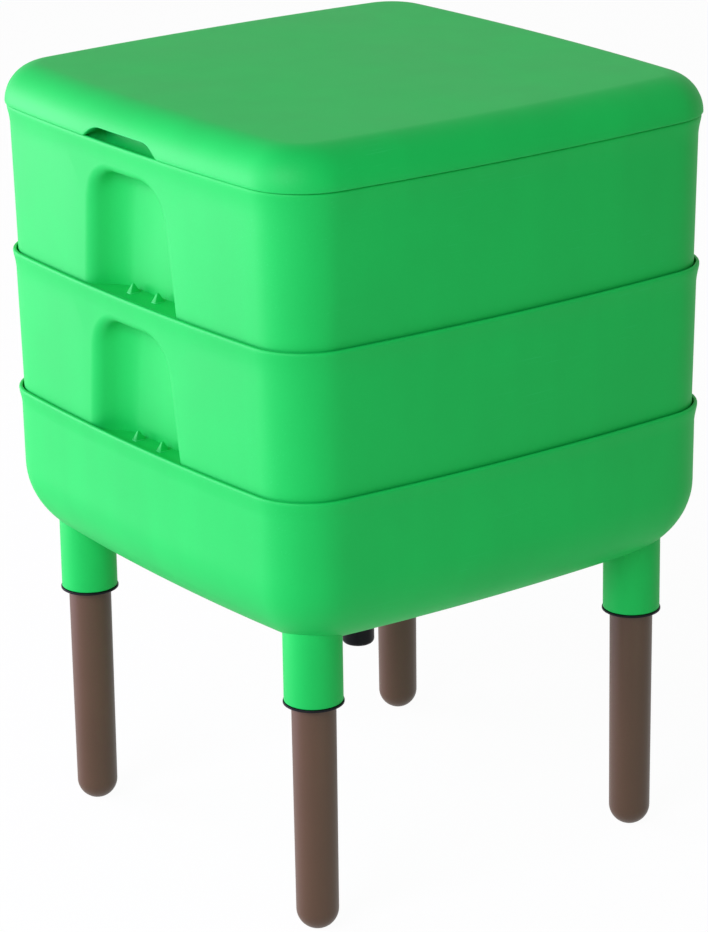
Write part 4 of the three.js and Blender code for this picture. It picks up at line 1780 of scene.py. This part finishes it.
@dataclass(frozen=True)
class Tap:
    """The drain tap and its strainer, measured from the sump's underside.

    Bars that cut crossed slots are staggered a little in height, so that no two faces coincide.
    """

    place: float = 198.5
    clearance: float = 0.3
    floor: float = 3.0
    shank_radius: float = 10.2
    shank_lead: float = 0.9
    thread_from: float = 1.5
    thread_clear: float = 2.0
    thread_pitch: float = 1.81
    thread_depth: float = 0.55
    thread: tuple[Pair, ...] = ((1.0, 0.0), (0.0, 0.6), (0.0, 0.9), (1.0, 1.5))
    bore: float = 6.9
    edge: float = 0.4
    flange_radius: float = 21.0
    flange_thickness: float = 4.0
    flange_rounds: Triple = (1.5, 1.0, 0.6)
    seal_thickness: float = 2.5
    seal_width: float = 8.0
    seal_round: float = 0.3
    seal_steps: int = 2
    nut_across: float = 32.0
    nut_thickness: float = 9.0
    nut_bevel: float = 0.7
    nut_steps: int = 2
    shank_over: float = 5.0
    neck_radius: float = 8.4
    neck_length: float = 45.4
    disc: float = 6.0
    port_radius: float = 1.9
    port_facets: int = 24
    overrun: float = 1.0
    ring_wire: float = 0.95
    ring_steps: int = 16
    ring_depth: float = 1.0
    ring_below: float = 31.0
    knob_wall: float = 1.8
    knob_disc: float = 4.0
    knob_below: float = 10.7
    knob_edge: float = 0.5
    knob_steps: int = 5
    foot_round: float = 3.5
    foot_lip: float = 0.2
    grip_radius: float = 15.5
    grip_height: float = 24.0
    grip_below: float = 9.0
    grip_middle: float = 12.0
    grip_rounds: Triple = (1.0, 1.5, 2.0)
    flutes: int = 8
    flute_depth: float = 1.9
    flute_from: float = 0.3
    screw_radius: float = 1.5
    screw_head: float = 3.1
    screw_rounds: Triple = (0.8, 0.2, 0.3)
    head_thickness: float = 2.2
    head_slot: Triple = (3.4, 0.7, 2.0)
    head_stagger: float = 0.05
    strainer_radius: float = 34.7
    strainer_height: float = 30.0
    strainer_wall: float = 2.0
    strainer_round: float = 5.0
    strainer_edge: float = 0.3
    strainer_steps: int = 6
    slot_width: float = 5.0
    slot_height: float = 14.0
    slot_lift: float = 6.0
    slot_overrun: float = 4.0
    slot_stagger: float = 0.01
    slots: int = 8
    facets: int = 64

    @property
    def flange_top(self) -> float:
        """The flange's upper face."""
        return -2 * self.clearance - self.seal_thickness

    @property
    def flange_foot(self) -> float:
        """The flange's lower face."""
        return self.flange_top - self.flange_thickness

    @property
    def body_foot(self) -> float:
        """The underside of the body's disc."""
        return self.flange_foot - self.neck_length

    @property
    def nut_foot(self) -> float:
        """The lock nut's lower face."""
        return self.floor + 2 * self.clearance + self.seal_thickness

    @property
    def ring_middle(self) -> float:
        """The O-ring's height."""
        return self.flange_foot - self.ring_below

    @property
    def ring_radius(self) -> float:
        """The O-ring's radius to the middle of its wire."""
        return self.neck_radius - self.ring_depth + self.clearance + self.ring_wire

    @property
    def knob_bore(self) -> float:
        """The radius of the knob's upper bore."""
        return self.ring_radius + self.ring_wire + self.clearance

    @property
    def knob_radius(self) -> float:
        """The radius of the knob's barrel."""
        return self.knob_bore + self.knob_wall

    def dress(
        self, skin: Skin, name: str, node: str, finish: Finish, cuts: Sequence[Cut] = ()
    ) -> None:
        """Publish a fixed piece of the tap."""
        Piece(name, Body.BASE, finish, (node,)).publish(skin, self.place, cuts)

    def turned(self, corners: Sequence[Triple], steps: int = 3) -> Skin:
        """Turn a solid about the tap's axis.

        Args:
            corners: Its section's corners as (radius, height, rounding).
            steps: How many facets each rounding gets.

        Returns:
            The solid.
        """
        skin = Skin()
        skin.turn(filleted(corners, steps), self.facets)
        return skin

    def seal(self, name: str, node: str, low: float) -> None:
        """Build and dress a flat seal.

        Args:
            name: The piece's name.
            node: The node that it stands for.
            low: Its lower face.
        """
        inner = self.shank_radius + self.clearance
        radii = (inner, inner + self.seal_width)
        heights = (low, low + self.seal_thickness)
        skin = Skin()
        skin.turn(ring_section(radii, heights, self.seal_round, self.seal_steps), self.facets)
        self.dress(skin, name, node, SEAL)

    def drill(
        self, skin: Skin, radius: float, heights: Pair, facets: int, centre: Pair = (0.0, 0.0)
    ) -> None:
        """Add a hole's cutter, which runs a little past both faces.

        Args:
            skin: The cutters' skin.
            radius: The hole's radius.
            heights: The faces' heights.
            facets: How many facets go round.
            centre: The hole's X and Y.
        """
        low, high = heights[0] - self.overrun, heights[1] + self.overrun
        line = points_of([(0.0, low), (radius, low), (radius, high), (0.0, high)])
        skin.turn(line, facets, centre)

    def ports(self, low: float, high: float, turn: float) -> Cut:
        """Work out the cut for a valve disc's two ports and its screw hole.

        Args:
            low: The disc's lower face.
            high: Its upper face.
            turn: How far round the axis the first port is.

        Returns:
            The cut.
        """
        skin = Skin()
        reach = self.bore - self.port_radius
        x, y = reach * math.cos(turn), reach * math.sin(turn)
        for centre in ((x, y), (-x, -y)):
            self.drill(skin, self.port_radius, (low, high), self.port_facets, centre)
        hole = self.screw_radius + self.clearance
        self.drill(skin, hole, (low, high), self.port_facets)
        return Cut(skin)

    def body(self) -> None:
        """Build and dress the tap's body, with thread rings on its shank."""
        groove = self.ring_wire + self.clearance
        waist = self.neck_radius - self.ring_depth
        top = self.nut_foot + self.nut_thickness + self.shank_over
        disc = self.body_foot + self.disc
        crest, root = self.shank_radius, self.shank_radius - self.thread_depth
        threads = []
        height = self.flange_top + self.thread_from
        while height < top - self.thread_clear:
            for share, up in self.thread:
                threads.append((crest - self.thread_depth * share, height + up, 0.0))
            height += self.thread_pitch
        fillet, under, over = self.flange_rounds
        corners = [
            (0.0, self.body_foot, 0.0),
            (self.neck_radius, self.body_foot, self.edge),
            (self.neck_radius, self.ring_middle - groove, 0.0),
            (waist, self.ring_middle - groove, 0.0),
            (waist, self.ring_middle + groove, 0.0),
            (self.neck_radius, self.ring_middle + groove, 0.0),
            (self.neck_radius, self.flange_foot, fillet),
            (self.flange_radius, self.flange_foot, under),
            (self.flange_radius, self.flange_top, over),
            (root, self.flange_top, 0.0),
            *threads,
            (self.shank_radius - self.shank_lead, top, self.edge),
            (self.bore, top, self.edge),
            (self.bore, disc, 0.0),
            (0.0, disc, 0.0),
        ]
        cuts = [self.ports(self.body_foot, disc, 0.0)]
        self.dress(self.turned(corners), "tap_shank", "tap_body", BLACK, cuts)

    def knob(self) -> None:
        """Build and dress the knob, whose grip is fluted."""
        disc_top = self.body_foot - self.clearance
        disc_foot = disc_top - self.knob_disc
        foot = disc_foot - self.knob_below
        grip_top = self.flange_foot - self.grip_below
        grip_foot = grip_top - self.grip_height
        outlet = self.knob_radius - self.foot_round
        under, shoulder, over = self.grip_rounds
        skin = self.turned(
            [
                (0.0, disc_foot, 0.0),
                (outlet, disc_foot, 0.0),
                (outlet, foot, 0.0),
                (self.knob_radius, foot, self.foot_round - self.foot_lip),
                (self.knob_radius, grip_foot, under),
                (self.grip_radius, grip_foot + self.grip_radius - self.knob_radius, shoulder),
                (self.grip_radius, grip_top - self.grip_middle, 0.0),
                (self.grip_radius, grip_top, over),
                (self.knob_bore, grip_top, self.knob_edge),
                (self.knob_bore, disc_top, 0.0),
                (0.0, disc_top, 0.0),
            ],
            self.knob_steps,
        )
        for vertex in skin.mesh.verts:
            reach = vertex.co.xy.length
            if reach > self.knob_radius + self.flute_from and vertex.co.z > grip_foot:
                swell = math.cos(self.flutes * math.atan2(vertex.co.y, vertex.co.x))
                share = min(1.0, (reach - self.knob_radius) / (self.grip_radius - self.knob_radius))
                vertex.co.xy *= 1 - self.flute_depth * share * (0.5 - 0.5 * swell) ** 2 / reach
        piece = Piece("tap_barrel", Body.KNOB, BLACK, ("tap_knob",))
        piece.publish(skin, self.place, [self.ports(disc_foot, disc_top, math.pi / 2)])

    def ring(self) -> None:
        """Build and dress the O-ring."""
        middle = Vector((self.ring_radius, self.ring_middle))
        start = middle + Vector((self.ring_wire, 0.0))
        skin = Skin()
        skin.turn(arc(middle, start, 2 * math.pi, self.ring_steps), self.facets)
        self.dress(skin, "knob_seal", "tap_o_ring", SEAL)

    def nut(self) -> None:
        """Build and dress the lock nut."""
        low, high = self.nut_foot, self.nut_foot + self.nut_thickness
        turn = math.pi / 6
        blank = Skin()
        mesh = blank.mesh
        radius = self.nut_across / 2 / math.cos(turn)
        verts = bmesh.ops.create_circle(mesh, cap_ends=True, radius=radius, segments=6)["verts"]
        bmesh.ops.rotate(mesh, verts=verts, matrix=Matrix.Rotation(turn, 3, "Z"))
        bmesh.ops.translate(mesh, verts=verts, vec=(0.0, 0.0, low))
        raised = bmesh.ops.extrude_face_region(mesh, geom=list(mesh.faces))["geom"]
        top = [part for part in raised if isinstance(part, bmesh.types.BMVert)]
        bmesh.ops.translate(mesh, verts=top, vec=(0.0, 0.0, self.nut_thickness))
        bmesh.ops.bevel(
            mesh,
            geom=list(mesh.edges),
            affect="EDGES",
            offset=self.nut_bevel,
            segments=self.nut_steps,
            profile=0.5,
            material=-1,
        )
        hole = Skin()
        self.drill(hole, self.shank_radius + self.clearance, (low, high), self.facets)
        self.dress(blank, "lock_nut", "tap_lock_nut", BLACK, [Cut(hole)])

    def screw(self) -> None:
        """Build and dress the screw, with a crossed slot in its head."""
        head_top = self.body_foot - 2 * self.clearance - self.knob_disc
        head_foot = head_top - self.head_thickness
        tip = self.body_foot + self.disc
        under, over, end = self.screw_rounds
        skin = self.turned(
            [
                (0.0, head_foot, 0.0),
                (self.screw_head, head_foot, under),
                (self.screw_head, head_top, over),
                (self.screw_radius, head_top, 0.0),
                (self.screw_radius, tip - self.screw_radius, end),
                (0.0, tip, 0.0),
            ]
        )
        slots = [
            Cut(bar(self.head_slot, turn, head_foot + self.head_stagger * turn))
            for turn in (0.0, math.pi / 2)
        ]
        self.dress(skin, "knob_screw", "tap_screw", STEEL, slots)

    def strainer(self) -> None:
        """Build and dress the drain strainer, a slotted cup."""
        foot = self.floor + self.clearance
        top = foot + self.strainer_height
        inner = self.strainer_radius - self.strainer_wall
        skin = self.turned(
            [
                (0.0, top - self.strainer_wall, 0.0),
                (inner, top - self.strainer_wall, self.strainer_round - self.strainer_wall),
                (inner, foot, self.strainer_edge),
                (self.strainer_radius, foot, self.strainer_edge),
                (self.strainer_radius, top, self.strainer_round),
                (0.0, top, 0.0),
            ],
            self.strainer_steps,
        )
        length = 2 * self.strainer_radius + self.slot_overrun
        size = (length, self.slot_width, self.slot_height)
        middle = foot + self.slot_lift + self.slot_height / 2
        slots = []
        for i in range(self.slots // 2):
            turn = 2 * math.pi * i / self.slots
            slots.append(Cut(bar(size, turn, middle + self.slot_stagger * i)))
        self.dress(skin, "strainer_cup", "drain_strainer", GREEN, slots)

    def build(self) -> None:
        """Build and dress the tap and the strainer."""
        self.body()
        self.knob()
        self.ring()
        self.nut()
        self.screw()
        self.seal("outer_seal", "tap_gasket", -self.clearance - self.seal_thickness)
        self.seal("inner_seal", "tap_washer", self.floor + self.clearance)
        self.strainer()


# Studio


@dataclass(frozen=True)
class Lamp:
    """A large soft light: its place and size in metres, its power in watts and its colour."""

    name: str
    place: Triple
    size: Pair
    power: float
    colour: Colour


@dataclass(frozen=True)
class Studio:
    """The floor, the lights and the camera."""

    floor_half: float = 30.0
    floor_white: float = 0.97
    floor_glow: float = 0.96
    ambient: float = 0.33
    ambient_colour: Colour = (0.9, 1.0, 0.85)
    lamps: tuple[Lamp, ...] = (
        Lamp(
            name="key",
            place=(1.0, -3.2, 2.2),
            size=(2.2, 1.6),
            power=108.0,
            colour=(1.13, 0.97, 1.34),
        ),
        Lamp(
            name="side",
            place=(-2.1, -1.9, 0.6),
            size=(2.4, 1.2),
            power=78.0,
            colour=(1.22, 0.94, 1.42),
        ),
        Lamp(
            name="fill",
            place=(2.6, -0.1, 0.1),
            size=(1.6, 0.3),
            power=5.0,
            colour=(0.9, 1.0, 0.85),
        ),
    )
    aim: Triple = (0.0, 0.0, 0.3)
    camera_place: Triple = (2.01361, -1.46858, 1.12169)
    camera_right: Triple = (0.59309, 0.80500, -0.014526)
    camera_up: Triple = (-0.24610, 0.19844, 0.94871)
    camera_back: Triple = (0.76660, -0.55910, 0.31580)
    lens: float = 142.83
    shift: Pair = (-0.0011, -0.0382)
    clip: Pair = (0.1, 100.0)

    def seen(self, graph: Graph) -> Value:
        """Tell rays that see the background, straight, mirrored or through glass, from the rest.

        Args:
            graph: The graph that asks.

        Returns:
            1 for such rays and 0 for the others.
        """
        path = graph.add("ShaderNodeLightPath")
        rays = ("Is Camera Ray", "Is Glossy Ray", "Is Transmission Ray")
        camera, glossy, through = (Value(graph, path.outputs[name]) for name in rays)
        return camera + glossy + through

    def floor(self) -> None:
        """Lay the pale floor, which keeps the object's shadow."""
        mesh = bpy.data.meshes.new("floor")
        plane = bmesh.new()
        bmesh.ops.create_grid(plane, x_segments=1, y_segments=1, size=self.floor_half)
        plane.to_mesh(mesh)
        plane.free()
        thing = bpy.data.objects.new("floor", mesh)
        bpy.context.scene.collection.objects.link(thing)
        graph = Graph(bpy.data.materials.new("pale_floor"))
        pale = rgba(WHITE, self.floor_white)
        matte = graph.add("ShaderNodeBsdfDiffuse", inputs={"Color": pale})
        glow = graph.add("ShaderNodeEmission", inputs={"Color": rgba(WHITE), "Strength": 1.0})
        share = self.seen(graph) * self.floor_glow
        mixed = graph.add(
            "ShaderNodeMixShader", inputs={0: share, 1: matte.outputs[0], 2: glow.outputs[0]}
        )
        graph.add("ShaderNodeOutputMaterial", inputs={"Surface": mixed.outputs[0]})
        mesh.materials.append(graph.holder)

    def world(self) -> None:
        """Set the even light from all round, which the camera sees as white."""
        world = bpy.data.worlds.new("studio")
        bpy.context.scene.world = world
        graph = Graph(world)
        seen = self.seen(graph)
        strength = self.ambient + seen * (1.0 - self.ambient)
        colour = graph.blend(seen, rgba(self.ambient_colour), rgba(WHITE))
        light = graph.add("ShaderNodeBackground", inputs={"Color": colour, "Strength": strength})
        graph.add("ShaderNodeOutputWorld", inputs={"Surface": light.outputs[0]})

    def light(self, lamp: Lamp) -> None:
        """Hang a lamp, turned to the object.

        Args:
            lamp: The lamp.
        """
        data = bpy.data.lights.new(lamp.name, "AREA")
        data.shape = "RECTANGLE"
        data.size, data.size_y = lamp.size
        data.energy = lamp.power
        data.color = lamp.colour
        light = bpy.data.objects.new(lamp.name, data)
        light.visible_camera = False
        light.location = lamp.place
        aim = Vector(self.aim) - Vector(lamp.place)
        light.rotation_euler = aim.to_track_quat("-Z", "Y").to_euler()
        bpy.context.scene.collection.objects.link(light)

    def camera(self) -> None:
        """Set the camera at the photograph's viewing angle."""
        data = bpy.data.cameras.new("camera")
        data.lens = self.lens
        data.shift_x, data.shift_y = self.shift
        data.clip_start, data.clip_end = self.clip
        camera = bpy.data.objects.new("camera", data)
        turn = Matrix((self.camera_right, self.camera_up, self.camera_back)).transposed()
        camera.matrix_world = Matrix.Translation(self.camera_place) @ turn.to_4x4()
        bpy.context.scene.collection.objects.link(camera)
        bpy.context.scene.camera = camera

    def build(self) -> None:
        """Set up the whole studio."""
        self.floor()
        self.world()
        for lamp in self.lamps:
            self.light(lamp)
        self.camera()
        bpy.context.scene.view_settings.view_transform = "Standard"


def main() -> None:
    """Build the wormery round its frame."""
    logging.basicConfig(level=logging.INFO, format="%(name)s: %(message)s")
    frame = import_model()
    LOG.info("the frame has %d nodes", len(frame["nodes"]))
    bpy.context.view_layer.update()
    Studio().build()
    Stand().build()
    Tap().build()
    for tray in TRAYS:
        tray.build()
    Lid().build()


if __name__ == "__main__":
    main()
